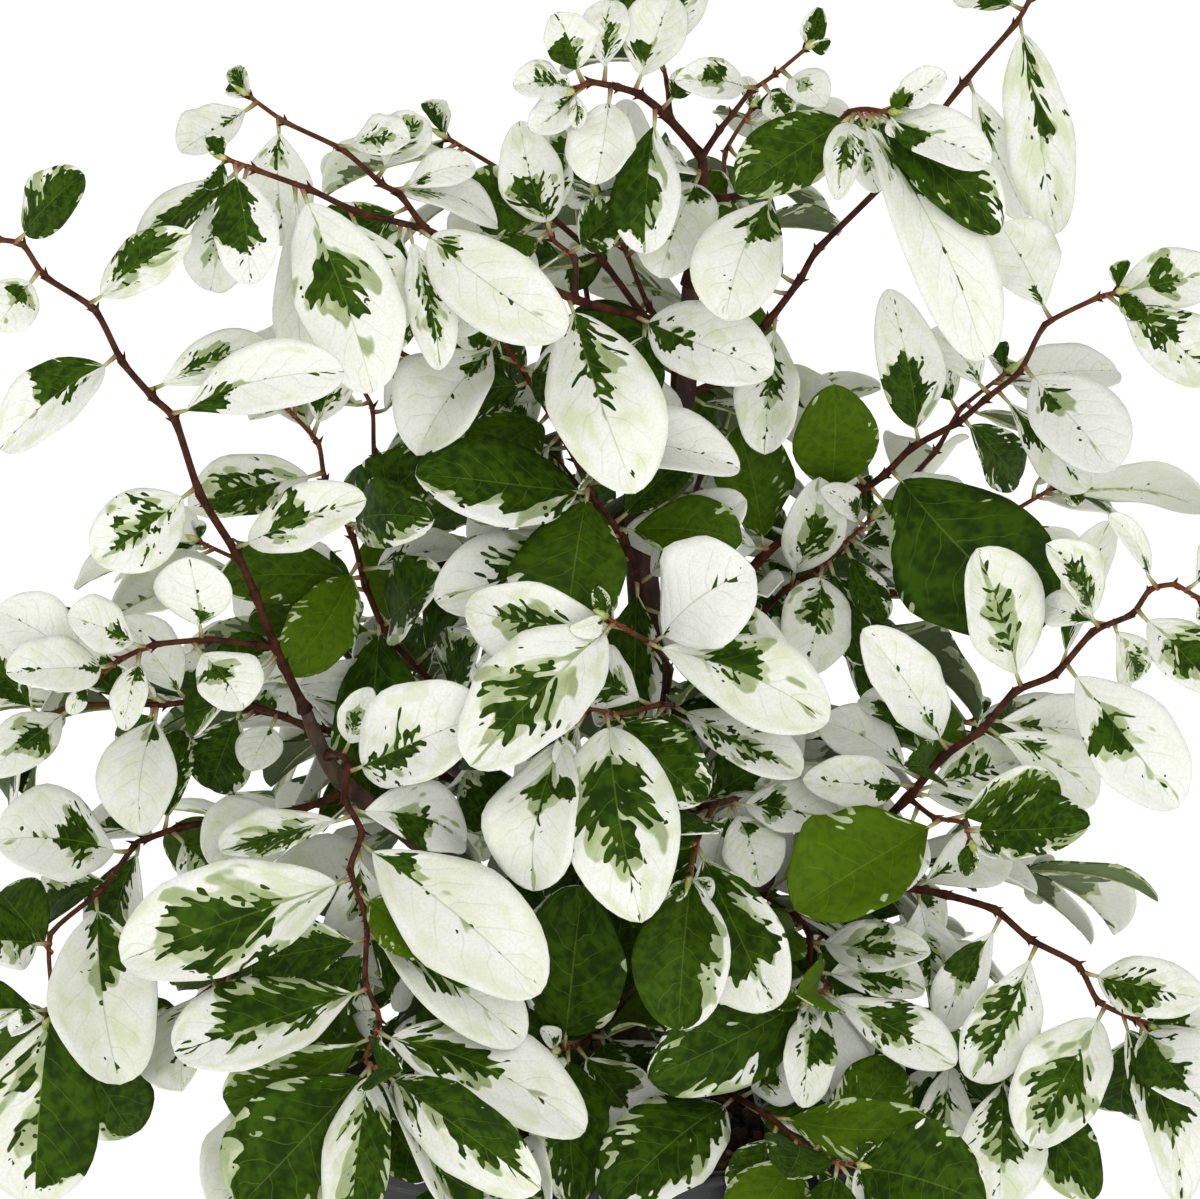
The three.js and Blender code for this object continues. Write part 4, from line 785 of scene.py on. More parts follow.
def curved(route, between, swing=0.5):
    """The route with points added between its nodes, bent softly where it turns at a node."""
    path, spans = [], []
    last = len(route) - 1
    for index in range(last):
        p0, p1 = route[max(index - 1, 0)], route[index]
        p2, p3 = route[index + 1], route[min(index + 2, last)]
        for step in range(between):
            t = step / between
            straight = p1.lerp(p2, t)
            smooth = 0.5 * (2 * p1 + (p2 - p0) * t + (2 * p0 - 5 * p1 + 4 * p2 - p3) * t ** 2
                            + (3 * p1 - 3 * p2 + p3 - p0) * t ** 3)
            path.append(straight.lerp(smooth, swing))
            spans.append(index + t)
    path.append(route[last].copy())
    spans.append(float(last))
    return path, spans


STEM_SIDES, STALK_SIDES, THORN_SIDES, BUD_SIDES = 10, 6, 5, 8
BARK_SLOT, STALK_SLOT, BUD_SLOT = 0, 1, 2
SLIM_FOOT, SLIM_TIP = 0.57, 0.52
NODE_SWELL, NODE_REACH = 0.3, 0.12
COLLAR_SWELL, COLLAR_REACH = 0.8, 0.16
STEM_END = ((0.5, 0.8), (0.9, 0.45), (1.1, 0.15))
RINGS_PER_SPAN = 5
STALK_RADIUS = 0.46
RIB_REACH, RIB_STEPS, RIB_END_RADIUS = 0.86, 6, 0.12
RIB_BELOW, RIB_START_BELOW = 0.42, 0.3
THORN_LENGTH, THORN_RADIUS = (1.1, 1.9), 0.42
BUD_LENGTH, BUD_RADIUS = (3.2, 5.2), (0.7, 0.95)
BUD_SHAPE = ((0, 0.5), (0.15, 0.85), (0.4, 1), (0.7, 0.66), (0.9, 0.3), (1, 0.08))


def bark_age(thick):
    """How old the bark of a stem is at its foot: the thicker, the older."""
    return clamp((thick[0] - 1.6) / 1.6, 0.35, 0.95)


def add_stem(bm, route, thick, chance):
    """A slim stem that swells at each node and widens to a collar where it leaves the wood."""
    path, spans = curved(route, RINGS_PER_SPAN)
    last = len(route) - 1
    radii, ages = [], []
    for span in spans:
        near = abs(span - round(span))
        swell = NODE_SWELL * math.exp(-(near / NODE_REACH) ** 2) if round(span) > 0 else 0
        collar = COLLAR_SWELL * math.exp(-(span / COLLAR_REACH) ** 2)
        slim = lerp(SLIM_FOOT, SLIM_TIP, span / last)
        radii.append(lerp(*thick, span / last) / 2 * slim * (1 + swell + collar))
        age = lerp(bark_age(thick), 0.12, (span / last) ** 0.8)
        ages.append(clamp(age + chance.uniform(-0.04, 0.04)))
    ahead = (path[-1] - path[-2]).normalized()
    for reach, share in STEM_END:
        path.append(route[-1] + ahead * (thick[1] * 0.6 * reach))
        radii.append(thick[1] / 2 * SLIM_TIP * share)
        ages.append(0.05)
    add_tube(bm, path, radii, STEM_SIDES, BARK_SLOT, ages)


def add_stalk(bm, leaf):
    """The leaf's stalk, which runs on under the blade as its midrib."""
    start = leaf["base"] - leaf["along"] * (0.3 * leaf["stem_radius"])
    bend = leaf["base"].lerp(leaf["stalk"], 0.55) - leaf["face_set"] * 0.5
    path = [start, bend]
    radii = [STALK_RADIUS * 1.35, STALK_RADIUS]
    ages = [0.3, 0.15]
    for step in range(RIB_STEPS + 1):
        t = RIB_REACH * step / RIB_STEPS
        below = (RIB_BELOW if step else RIB_START_BELOW) * (1 - 0.35 * t)
        path.append(blade_point(leaf, leaf["habit"], 0, t) - leaf["face_set"] * below)
        radii.append(lerp(STALK_RADIUS * 0.85, RIB_END_RADIUS, t / RIB_REACH))
        ages.append(0.0)
    add_tube(bm, path, radii, STALK_SIDES, STALK_SLOT, ages)


def add_thorn(bm, root, direction, length):
    """A stipule: the tiny stiff point beside a leaf's stalk."""
    path = [root, root + direction * (length * 0.5), root + direction * length]
    radii = [THORN_RADIUS, THORN_RADIUS * 0.6, THORN_RADIUS * 0.12]
    add_tube(bm, path, radii, THORN_SIDES, BARK_SLOT, [0.9, 0.7, 0.5])


def add_thorn_pairs(bm, route, thick, chance):
    for node in range(1, len(route)):
        ahead = (route[node] - route[node - 1]).normalized()
        radius = lerp(*thick, node / (len(route) - 1)) / 2 * SLIM_TIP
        for turn in (0, math.pi):
            swing = Quaternion(ahead, turn + chance.uniform(-0.6, 0.6))
            side = swing @ ahead.orthogonal().normalized()
            add_thorn(bm, route[node] + side * radius * 0.8, (side + ahead * 0.9).normalized(),
                      chance.uniform(*THORN_LENGTH))


def add_bud(bm, route, chance):
    """A closed shoot bud: a spindle of young green."""
    ahead = (route[-1] - route[-2]).normalized()
    root = route[-1] + ahead * 0.4
    direction = (ahead + 0.25 * TO_VIEWER).normalized()
    length, radius = chance.uniform(*BUD_LENGTH), chance.uniform(*BUD_RADIUS)
    path = [root + direction * (length * along) for along, _ in BUD_SHAPE]
    radii = [radius * share for _, share in BUD_SHAPE]
    add_tube(bm, path, radii, BUD_SIDES, BUD_SLOT, [0.0] * len(path))


def make_stems(name, spray, chance):
    bm = bmesh.new()
    bm.verts.layers.float.new("age")
    for route, thick in spray["stems"]:
        add_stem(bm, route, thick, chance)
        add_thorn_pairs(bm, route, thick, chance)
        add_bud(bm, route, chance)
    for leaf in spray["leaves"]:
        add_stalk(bm, leaf)
    bmesh.ops.recalc_face_normals(bm, faces=bm.faces)
    return as_piece(bm, name, TWIG_BARK, STALK_SKIN, BUD_SKIN)


class Finish:
    """A procedural material in the making: each call adds a node and returns its output."""

    def __init__(self, name):
        self.material = bpy.data.materials.new(name)
        self.material.use_nodes = True
        self.tree = self.material.node_tree
        self.tree.nodes.clear()

    def add_node(self, kind, inputs=(), **settings):
        node = self.tree.nodes.new("ShaderNode" + kind)
        for setting, value in settings.items():
            setattr(node, setting, value)
        for name, value in dict(inputs).items():
            self.feed(node.inputs[name], value)
        return node

    def add(self, kind, output=0, inputs=(), **settings):
        return self.add_node(kind, inputs, **settings).outputs[output]

    def feed(self, socket, value):
        if isinstance(value, bpy.types.NodeSocket):
            self.tree.links.new(value, socket)
        else:
            socket.default_value = value

    def math(self, operation, *values):
        return self.add("Math", 0, enumerate(values), operation=operation)

    def times(self, value, factor):
        return self.math("MULTIPLY", value, factor)

    def plus(self, value, other):
        return self.math("ADD", value, other)

    def minus(self, value, other):
        return self.math("SUBTRACT", value, other)

    def scaled(self, value, factor, shift):
        """The value times the factor, plus the shift."""
        return self.math("MULTIPLY_ADD", value, factor, shift)

    def ramp(self, value, low, high, to_low=0.0, to_high=1.0):
        """A soft step from to_low to to_high, while the value runs from low to high."""
        return self.add("MapRange", 0, {"Value": value, "From Min": low, "From Max": high,
                                        "To Min": to_low, "To Max": to_high},
                        interpolation_type="SMOOTHSTEP")

    def mix(self, share, low, high):
        """A colour between low and high."""
        return self.add("Mix", 2, {0: share, 6: low, 7: high}, data_type="RGBA")

    def noise(self, place, scale, detail=2.0, rough=0.5, dimensions="3D"):
        return self.add("TexNoise", 0, {"Vector": place, "Scale": scale, "Detail": detail,
                                        "Roughness": rough}, noise_dimensions=dimensions)

    def vector(self, x, y):
        return self.add("CombineXYZ", 0, {"X": x, "Y": y})

    def split(self, vector, kind="XYZ"):
        node = self.tree.nodes.new("ShaderNodeSeparate" + kind)
        self.tree.links.new(vector, node.inputs[0])
        return node.outputs[0], node.outputs[1], node.outputs[2]

    def own_place(self):
        """The place on the object, in metres."""
        return self.add("TexCoord", 3)

    def bump(self, height, distance, strength):
        return self.add("Bump", 0, {"Height": height, "Distance": distance, "Strength": strength})

    def finish(self, **surface):
        bsdf = self.tree.nodes.new("ShaderNodeBsdfPrincipled")
        for name, value in surface.items():
            self.feed(bsdf.inputs[name.replace("_", " ").title().replace("Ior", "IOR")], value)
        out = self.tree.nodes.new("ShaderNodeOutputMaterial")
        self.tree.links.new(bsdf.outputs[0], out.inputs[0])
        return self.material


def linear(shade):
    """The share of light of a shade that is given as it looks on screen, 0 to 255."""
    return shade / 255 / 12.92 if shade <= 10 else ((shade / 255 + 0.055) / 1.055) ** 2.4


def rgb(red, green, blue):
    return linear(red), linear(green), linear(blue), 1.0


# Leaf colours
WHITE, CREAM, LIT_CREAM = rgb(236, 237, 232), rgb(226, 230, 210), rgb(210, 218, 182)
SAGE, PALE_SAGE = rgb(136, 154, 88), rgb(182, 196, 148)
DEEP_GREEN, MID_GREEN, OLIVE_GREEN = rgb(32, 54, 6), rgb(54, 82, 8), rgb(76, 104, 8)
VEIN_GREEN = rgb(126, 150, 60)
GRAIN_TINT, UNDER_TINT = rgb(190, 194, 172), rgb(204, 212, 180)
VEIN_ANGLE = 0.28
CELLS_ALONG, CELLS_ACROSS = 17.0, 5.0
VEIN_PAIRS = 6.5


class Blade:
    """Where a point lies on its leaf, and the leaf's own draws. t runs from the stalk to the tip, q
    from edge to edge (-1 to 1), away from the midrib to the edge, and line along the side veins."""

    def __init__(self, f):
        u, self.t, _ = f.split(f.add("UVMap", uv_map="blade"))
        seed, self.green, _ = f.split(f.add("UVMap", uv_map="kind"))
        seed = f.math("DIVIDE", f.math("ROUND", f.times(seed, 1000.0)), 1000.0)
        self.q = f.scaled(u, 2.0, -1.0)
        self.away, self.half = f.math("ABSOLUTE", self.q), f.math("SIGN", self.q)
        self.line = f.scaled(self.away, -VEIN_ANGLE, self.t)
        draws = f.add("TexWhiteNoise", 1, {"W": f.times(seed, 977.0)}, noise_dimensions="1D")
        self.first, self.second, self.third = f.split(draws, "Color")
        self.shift = f.times(seed, 311.0)
        self.side_shift = f.scaled(seed, 171.0, f.times(self.half, 11.0))
        self.cell_place = f.vector(f.scaled(self.t, CELLS_ALONG, self.shift),
                                   f.times(self.q, CELLS_ACROSS))
        soft_place = f.vector(f.scaled(self.t, 5.0, self.shift), f.times(self.q, 2.2))
        self.soft = f.noise(soft_place, 1.0, 1.0, 0.5, "2D")


def lobes(f, blade, along, across, detail, offset=0.0):
    """Noise drawn out along the side veins, apart for each leaf and each half of it."""
    place = f.vector(f.scaled(blade.line, along, f.plus(blade.shift, offset)),
                     f.scaled(blade.away, across, blade.side_shift))
    return f.minus(f.noise(place, 1.0, detail, 0.5, "2D"), 0.5)


def green_share(f, blade, full):
    """How much of its half of the blade the green takes, at each place from stalk to tip."""
    start = f.times(f.scaled(blade.second, 0.5, -0.16), f.minus(1.0, full))
    stop = f.scaled(full, 0.8, f.scaled(blade.first, 0.45, f.plus(start, 0.3)))
    run = f.times(f.ramp(blade.t, f.minus(start, f.plus(0.1, full)), f.plus(start, 0.14)),
                  f.ramp(blade.t, f.minus(stop, 0.22), stop, 1.0, 0.0))
    lopsided = f.times(f.times(blade.half, f.minus(blade.third, 0.5)),
                       f.minus(1.0, f.math("POWER", blade.green, 3.0)))
    one_sided = f.math("MAXIMUM", f.scaled(lopsided, 2.6, 1.0), 0.0)
    share = f.times(f.times(f.scaled(blade.green, 0.98, 0.12), run), one_sided)
    return f.plus(share, f.scaled(run, 0.34, -0.34))


def specks(f, blade, depth):
    """Round dots of dark green where the green thins out, and a draw for each cell they lie in."""
    cells = f.add_node("TexVoronoi", {"Vector": blade.cell_place, "Scale": 1.0}, voronoi_dimensions="2D")
    size_draw, kind_draw, _ = f.split(cells.outputs["Color"], "Color")
    dot = f.math("LESS_THAN", cells.outputs["Distance"], f.scaled(size_draw, 0.2, 0.12))
    speck = f.times(f.times(dot, f.math("GREATER_THAN", kind_draw, 0.8)),
                    f.math("GREATER_THAN", depth, -0.28))
    return speck, size_draw


def green_pattern(f, blade):
    """Masks of the dark green and of the sage beside it, and the shades within the sage."""
    full = f.ramp(blade.green, 0.45, 0.85)
    share = green_share(f, blade, full)
    swing = f.scaled(f.times(blade.green, f.minus(1.15, blade.green)), 1.4, 0.7)
    depth = f.minus(f.scaled(lobes(f, blade, 4.5, 1.4, 0.0), swing, share), blade.away)
    ragged = f.scaled(full, -0.3, f.scaled(blade.first, 0.9, 0.6))
    depth = f.scaled(lobes(f, blade, 17.0, 4.0, 0.0, 40.0), ragged, depth)
    clouds = lobes(f, blade, 5.0, 2.2, 0.8, 80.0)
    sage_share = f.scaled(blade.second, 0.4, f.scaled(share, 1.0, -0.1))
    sage_depth = f.minus(f.scaled(clouds, f.plus(swing, 0.6), sage_share), blade.away)
    speck, cell_draw = specks(f, blade, depth)
    dark = f.math("MAXIMUM", f.ramp(depth, -0.016, 0.016), speck)
    sage = f.ramp(sage_depth, -0.07, 0.07, 0.0, 0.85)
    return dark, sage, f.scaled(cell_draw, 0.2, clouds)


def vein_pattern(f, blade):
    """Masks of all the veins and of the midrib alone, and the phase from one side vein to the next."""
    curve = f.scaled(f.times(blade.away, blade.away), -0.14, f.scaled(blade.away, -0.2, blade.t))
    phase = f.scaled(curve, VEIN_PAIRS, f.scaled(blade.soft, 0.55, f.times(blade.half, 0.23)))
    far = f.math("ABSOLUTE", f.minus(f.math("FRACT", phase), 0.5))
    vein = f.times(f.ramp(far, 0.0, 0.04, 1.0, 0.0), f.ramp(blade.away, 0.4, 0.92, 1.0, 0.0))
    rib_far = f.math("DIVIDE", blade.away, f.scaled(blade.t, -0.014, 0.024))
    rib = f.times(f.ramp(rib_far, 0.6, 1.3, 1.0, 0.0), f.ramp(blade.t, 0.86, 1.0, 1.0, 0.0))
    return f.math("MAXIMUM", vein, rib), rib, phase


def pale_ground(f, blade, veins, rib):
    pale = f.mix(f.times(f.ramp(blade.soft, 0.3, 0.7), blade.third), WHITE, CREAM)
    warm = f.ramp(f.plus(blade.soft, f.times(blade.first, 0.3)), 0.75, 0.95, 0.0, 0.6)
    return f.mix(f.plus(f.times(veins, 0.1), f.times(rib, 0.25)), f.mix(warm, pale, LIT_CREAM), SAGE)


def deep_ground(f, blade, veins):
    mottle = f.noise(blade.cell_place, 0.9, 1.5, 0.6, "2D")
    deep = f.mix(f.ramp(f.times(f.plus(blade.soft, mottle), 0.5), 0.36, 0.64), DEEP_GREEN, MID_GREEN)
    young = f.times(f.ramp(blade.green, 0.8, 1.0), f.ramp(blade.second, 0.35, 1.0))
    deep = f.mix(young, deep, OLIVE_GREEN)
    deep = f.mix(f.ramp(mottle, 0.3, 0.6, 0.3, 0.0), deep, DEEP_GREEN)
    return f.mix(f.times(veins, 0.28), deep, VEIN_GREEN)


def leaf_finish(name, beneath):
    """A blade in white, sage and dark green. The green lies along the midrib in lobes that follow
    the side veins, each half of the blade with its own share, with round specks beyond its edge."""
    f = Finish(name)
    blade = Blade(f)
    dark, sage, sage_shade = green_pattern(f, blade)
    veins, rib, phase = vein_pattern(f, blade)
    mid = f.mix(f.ramp(sage_shade, -0.05, 0.3), PALE_SAGE, SAGE)
    colour = f.mix(sage, pale_ground(f, blade, veins, rib), mid)
    colour = f.mix(dark, colour, deep_ground(f, blade, veins))
    grain = f.ramp(f.noise(f.own_place(), 1800.0, 0.0), 0.35, 0.7, 0.0, 0.16)
    colour = f.mix(f.times(grain, f.scaled(dark, -0.97, 1.0)), colour, GRAIN_TINT)
    if beneath:
        colour = f.mix(0.18, colour, UNDER_TINT)
    ribs = f.times(veins, 0.6 if beneath else -0.5)
    quilt = f.math("SINE", f.times(f.math("FRACT", f.plus(phase, 0.5)), math.pi))
    rough = f.scaled(dark, -0.1, 0.7 if beneath else 0.6)
    return f.finish(base_color=colour, roughness=rough, specular_ior_level=0.05,
                    normal=f.bump(f.scaled(quilt, 0.3, ribs), 0.0003, 0.5))


def twig_finish():
    """Thin red-brown bark, darker and greyer with age, with pale dots and fine lengthwise lines."""
    f = Finish("twig bark")
    place = f.own_place()
    age = f.add("Attribute", 2, attribute_name="age")
    streak = f.noise(place, 420.0, 3.0)
    spots = f.add("TexVoronoi", 0, {"Vector": place, "Scale": 900.0})
    young = f.mix(f.ramp(streak, 0.35, 0.7), rgb(112, 50, 28), rgb(100, 78, 36))
    grown = f.mix(f.ramp(streak, 0.3, 0.7), rgb(44, 20, 12), rgb(80, 42, 24))
    old = f.mix(f.ramp(streak, 0.3, 0.7), rgb(32, 21, 15), rgb(62, 42, 29))
    colour = f.mix(f.ramp(age, 0.04, 0.35), young, grown)
    colour = f.mix(f.ramp(age, 0.75, 1.0), colour, old)
    colour = f.mix(f.ramp(spots, 0.0, 0.28, 0.18, 0.0), colour, rgb(124, 88, 60))
    relief = f.scaled(streak, 0.7, f.ramp(spots, 0.0, 0.3, 0.4, 0.0))
    return f.finish(base_color=colour, roughness=f.ramp(age, 0.0, 1.0, 0.42, 0.75),
                    normal=f.bump(relief, 0.0003, 0.6), specular_ior_level=0.12)


def stalk_finish():
    """Leaf stalks: reddish where they leave the stem, pale green under the blade."""
    f = Finish("leaf stalk")
    age = f.add("Attribute", 2, attribute_name="age")
    mottle = f.noise(f.own_place(), 700.0, 2.0)
    green = f.mix(f.ramp(mottle, 0.35, 0.65), rgb(186, 194, 140), rgb(150, 158, 96))
    red = f.mix(f.ramp(mottle, 0.35, 0.65), rgb(150, 84, 66), rgb(128, 96, 60))
    return f.finish(base_color=f.mix(f.ramp(age, 0.02, 0.28), green, red), roughness=0.5,
                    normal=f.bump(mottle, 0.0002, 0.4))


def bud_finish():
    """Young shoot tips: yellow-green with paler scales and a pink flush."""
    f = Finish("bud skin")
    place = f.own_place()
    mottle = f.noise(place, 500.0, 3.0)
    scales = f.add("TexVoronoi", 0, {"Vector": place, "Scale": 650.0}, feature="DISTANCE_TO_EDGE")
    colour = f.mix(f.ramp(mottle, 0.35, 0.65), rgb(150, 168, 60), rgb(206, 208, 140))
    colour = f.mix(f.ramp(mottle, 0.6, 0.8, 0.0, 0.5), colour, rgb(190, 120, 90))
    return f.finish(base_color=colour, roughness=0.45,
                    normal=f.bump(f.ramp(scales, 0.0, 0.15), 0.0002, 0.5))


def glaze_finish():
    """Dark charcoal satin glaze with fine pale flecks, and bare clay at the foot."""
    f = Finish("pot glaze")
    place = f.own_place()
    _, _, height = f.split(place)
    cloud = f.noise(place, 28.0, 4.0, 0.55)
    fleck = f.noise(place, 620.0, 2.0)
    body = f.mix(f.ramp(cloud, 0.35, 0.68), rgb(24, 26, 29), rgb(42, 44, 46))
    body = f.mix(f.ramp(fleck, 0.62, 0.76, 0.0, 0.35), body, rgb(92, 87, 79))
    clay = f.mix(f.ramp(fleck, 0.3, 0.7), rgb(104, 72, 54), rgb(132, 96, 72))
    edge = f.plus(height, f.times(f.minus(cloud, 0.5), 0.006))
    bare = f.ramp(edge, 0.0022, 0.0034, 1.0, 0.0)
    rough = f.scaled(bare, 0.45, f.ramp(cloud, 0.3, 0.7, 0.3, 0.42))
    relief = f.scaled(cloud, 0.6, f.times(fleck, 0.25))
    return f.finish(base_color=f.mix(bare, body, clay), roughness=rough,
                    normal=f.bump(relief, 0.0006, 0.35), specular_ior_level=0.35)


def soil_finish():
    """Bonsai soil: dark earth with tan, grey and near-black grains."""
    f = Finish("soil grains")
    tone = f.add("Attribute", 2, attribute_name="tone")
    crumb = f.noise(f.own_place(), 900.0, 4.0, 0.6)
    colour = f.mix(f.ramp(tone, 0.2, 0.6), rgb(40, 28, 20), rgb(84, 60, 42))
    colour = f.mix(f.ramp(tone, 0.66, 0.78), colour, rgb(132, 100, 68))
    colour = f.mix(f.ramp(tone, 0.9, 0.97), colour, rgb(142, 136, 124))
    colour = f.mix(f.ramp(crumb, 0.3, 0.7, 0.5, 0.0), colour, rgb(24, 17, 12))
    return f.finish(base_color=colour, roughness=0.92, normal=f.bump(crumb, 0.0006, 0.8))


def trunk_finish():
    """Grey-brown bark with fine upright cracks, browner and smoother higher up."""
    f = Finish("trunk bark")
    place = f.own_place()
    _, _, height = f.split(place)
    drawn = f.add("Mapping", 0, {"Vector": place, "Scale": (1.0, 1.0, 0.22)})
    crack = f.noise(drawn, 330.0, 5.0, 0.6)
    patch = f.noise(place, 60.0, 3.0)
    dots = f.add("TexVoronoi", 0, {"Vector": place, "Scale": 380.0})
    low = f.mix(f.ramp(crack, 0.35, 0.65), rgb(52, 38, 30), rgb(112, 92, 76))
    high = f.mix(f.ramp(crack, 0.35, 0.65), rgb(44, 24, 18), rgb(80, 48, 34))
    colour = f.mix(f.ramp(height, 0.07, 0.16), low, high)
    colour = f.mix(f.ramp(patch, 0.5, 0.7, 0.0, 0.35), colour, rgb(112, 104, 84))
    colour = f.mix(f.ramp(dots, 0.0, 0.2, 0.3, 0.0), colour, rgb(140, 112, 90))
    relief = f.plus(crack, f.ramp(dots, 0.0, 0.22, 0.35, 0.0))
    return f.finish(base_color=colour, roughness=0.82, normal=f.bump(relief, 0.0008, 0.7))


def mesh_finish():
    """Black moulded plastic, slightly scuffed."""
    f = Finish("drain mesh plastic")
    scuff = f.noise(f.own_place(), 500.0, 3.0)
    colour = f.mix(f.ramp(scuff, 0.35, 0.7), rgb(24, 24, 25), rgb(48, 47, 46))
    return f.finish(base_color=colour, roughness=f.ramp(scuff, 0.3, 0.7, 0.5, 0.7),
                    normal=f.bump(scuff, 0.0002, 0.4))


def floor_finish():
    """A pale studio floor that glows a little, so that it stays white under the soft light."""
    f = Finish("studio floor")
    colour = f.mix(f.noise(f.own_place(), 3.0, 2.0), rgb(249, 249, 248), rgb(252, 252, 251))
    return f.finish(base_color=colour, roughness=0.9, emission_color=(1.0, 1.0, 1.0, 1.0),
                    emission_strength=0.5)


# Pot: its wall is a profile of (radius, height), as the long half of the oval has it
POT_STEPS, DRAIN_STEPS = 112, 40
FLOOR_RING = 42
FLAT = POT_DEPTH / POT_LENGTH
FOOT_RADIUS, POT_RADIUS = FOOT_LENGTH / 2, POT_LENGTH / 2
BELLY_OUTSIDE = [(63.6, 12), (66.1, 24), (68.5, 36)]
BELLY_INSIDE = [(64.2, 36), (61, 22)]
FLOOR_INNER = FOOT_RADIUS - 3
CORNER_CUT, CORNER_ROUND, SHARP_TURN = 1.5, 0.6, 0.3
SAME_HEIGHT = 1e-5


def turned_oval(bm, profile):
    """Spins a profile of (radius, height) round the pot's middle and flattens it to the oval."""
    verts = [bm.verts.new((radius * MM, 0, height * MM)) for radius, height in profile]
    edges = [bm.edges.new(pair) for pair in zip(verts, verts[1:])]
    bmesh.ops.spin(bm, geom=verts + edges, cent=(0, 0, 0), axis=(0, 0, 1), angle=2 * math.pi,
                   steps=POT_STEPS, use_merge=True)
    bmesh.ops.remove_doubles(bm, verts=bm.verts, dist=SAME_CORNER)
    bmesh.ops.scale(bm, vec=(1, FLAT, 1), verts=bm.verts)
    return bm.verts


def pot_profile():
    body_top = POT_HEIGHT - LIP_HEIGHT
    foot = [(FLOOR_RING, 0), (FOOT_RADIUS - CORNER_CUT, 0), (FOOT_RADIUS, CORNER_CUT)]
    lip = [(POT_RADIUS - LIP_PROUD, body_top), (POT_RADIUS, body_top + CORNER_CUT),
           (POT_RADIUS, POT_HEIGHT - CORNER_CUT), (POT_RADIUS - CORNER_CUT, POT_HEIGHT),
           (POT_RADIUS - POT_WALL, POT_HEIGHT)]
    floor = [(FLOOR_INNER, POT_FLOOR), (FLOOR_RING, POT_FLOOR)]
    return foot + BELLY_OUTSIDE + lip + BELLY_INSIDE + floor


def add_floor_with_holes(bm):
    """Closes the pot's underside and its floor, each with two round holes, and joins the holes."""
    rims = [edge for edge in bm.edges if edge.is_boundary]
    holes = {}
    for height in (0, POT_FLOOR):
        loops = [edge for edge in rims if abs(edge.verts[0].co.z - height * MM) < SAME_HEIGHT]
        for side in (-1, 1):
            spot = Matrix.Translation((side * DRAIN_SPACING / 2 * MM, 0, height * MM))
            ring = bmesh.ops.create_circle(bm, segments=DRAIN_STEPS, radius=DRAIN_HOLE / 2 * MM,
                                           matrix=spot)["verts"]
            edges = list({edge for vert in ring for edge in vert.link_edges})
            holes.setdefault(side, []).extend(edges)
            loops += edges
        bmesh.ops.triangle_fill(bm, use_beauty=True, edges=loops)
    for edges in holes.values():
        bmesh.ops.bridge_loops(bm, edges=edges)


def make_pot():
    bm = bmesh.new()
    turned_oval(bm, pot_profile())
    sharp = [edge for edge in bm.edges
             if len(edge.link_faces) == 2 and edge.calc_face_angle() > SHARP_TURN]
    bmesh.ops.bevel(bm, geom=sharp, offset=CORNER_ROUND * MM, segments=3, affect="EDGES",
                    profile=0.5, material=-1)
    add_floor_with_holes(bm)
    bmesh.ops.recalc_face_normals(bm, faces=bm.faces)
    for face in bm.faces:
        face.smooth = len(face.verts) == 4
    return as_piece(bm, "pot_glazed", glaze_finish())


# Soil
BED_FOOT, BED_CLEARANCE, BED_RINGS = 10.8, 0.4, 16
BED_TONE, BED_RELIEF, BED_GRAIN = 0.2, 0.5, 140
WALL_CLEARANCE, UNDER_GRAINS = 0.6, 0.6
GRAIN_COUNT, GRAIN_SIZES = 1250, (1.1, 1.3, 1.5, 1.8, 2.2)
GRAINS_IN_FROM_WALL, GRAINS_OFF_TRUNK = 2.2, 8.5
GOLDEN_TURN = math.pi * (3 - math.sqrt(5))


def inner_radius(height):
    up = (height - POT_FLOOR) / (POT_HEIGHT - POT_FLOOR)
    return lerp(FLOOR_INNER, POT_RADIUS - POT_WALL, up) - WALL_CLEARANCE


def soil_height(share):
    """Height of the soil at a share of the way from the middle to the pot's wall."""
    return SOIL_TOP + SOIL_CROWN * (1 - share ** 2) - UNDER_GRAINS


def make_soil_bed(finish):
    edge = inner_radius(SOIL_TOP) - BED_CLEARANCE
    foot = inner_radius(BED_FOOT) - BED_CLEARANCE
    bm = bmesh.new()
    tone = bm.verts.layers.float.new("tone")
    shares = [step / BED_RINGS for step in range(BED_RINGS + 1)]
    top = [(edge * share, soil_height(share)) for share in shares]
    for vert in turned_oval(bm, top + [(foot, BED_FOOT), (0, BED_FOOT)]):
        vert[tone] = BED_TONE
        if vert.co.z > (SOIL_TOP - 2) * MM:
            vert.co.z += BED_RELIEF * MM * noise.noise(vert.co * BED_GRAIN)
    bmesh.ops.recalc_face_normals(bm, faces=bm.faces)
    return as_piece(bm, "soil_bed", finish)


def draw_grain(index, chance):
    """One loose grain: its middle, its tumble and its size each way, and its tone."""
    edge = inner_radius(SOIL_TOP) - GRAINS_IN_FROM_WALL
    share = math.sqrt((index + 0.5) / GRAIN_COUNT)
    turn = index * GOLDEN_TURN + chance.uniform(-0.03, 0.03)
    size = chance.choice(GRAIN_SIZES) * chance.uniform(0.9, 1.1)
    spot = Vector((edge * share * math.cos(turn), edge * FLAT * share * math.sin(turn),
                   soil_height(share) + size * chance.uniform(0.05, 0.4)))
    tumble = Quaternion((chance.random(), chance.random(), 1), chance.uniform(0, 6))
    flat = Matrix.Diagonal((size, size * chance.uniform(0.7, 1), size * chance.uniform(0.6, 0.9), 1))
    return spot, tumble.to_matrix().to_4x4(), flat, chance.random()


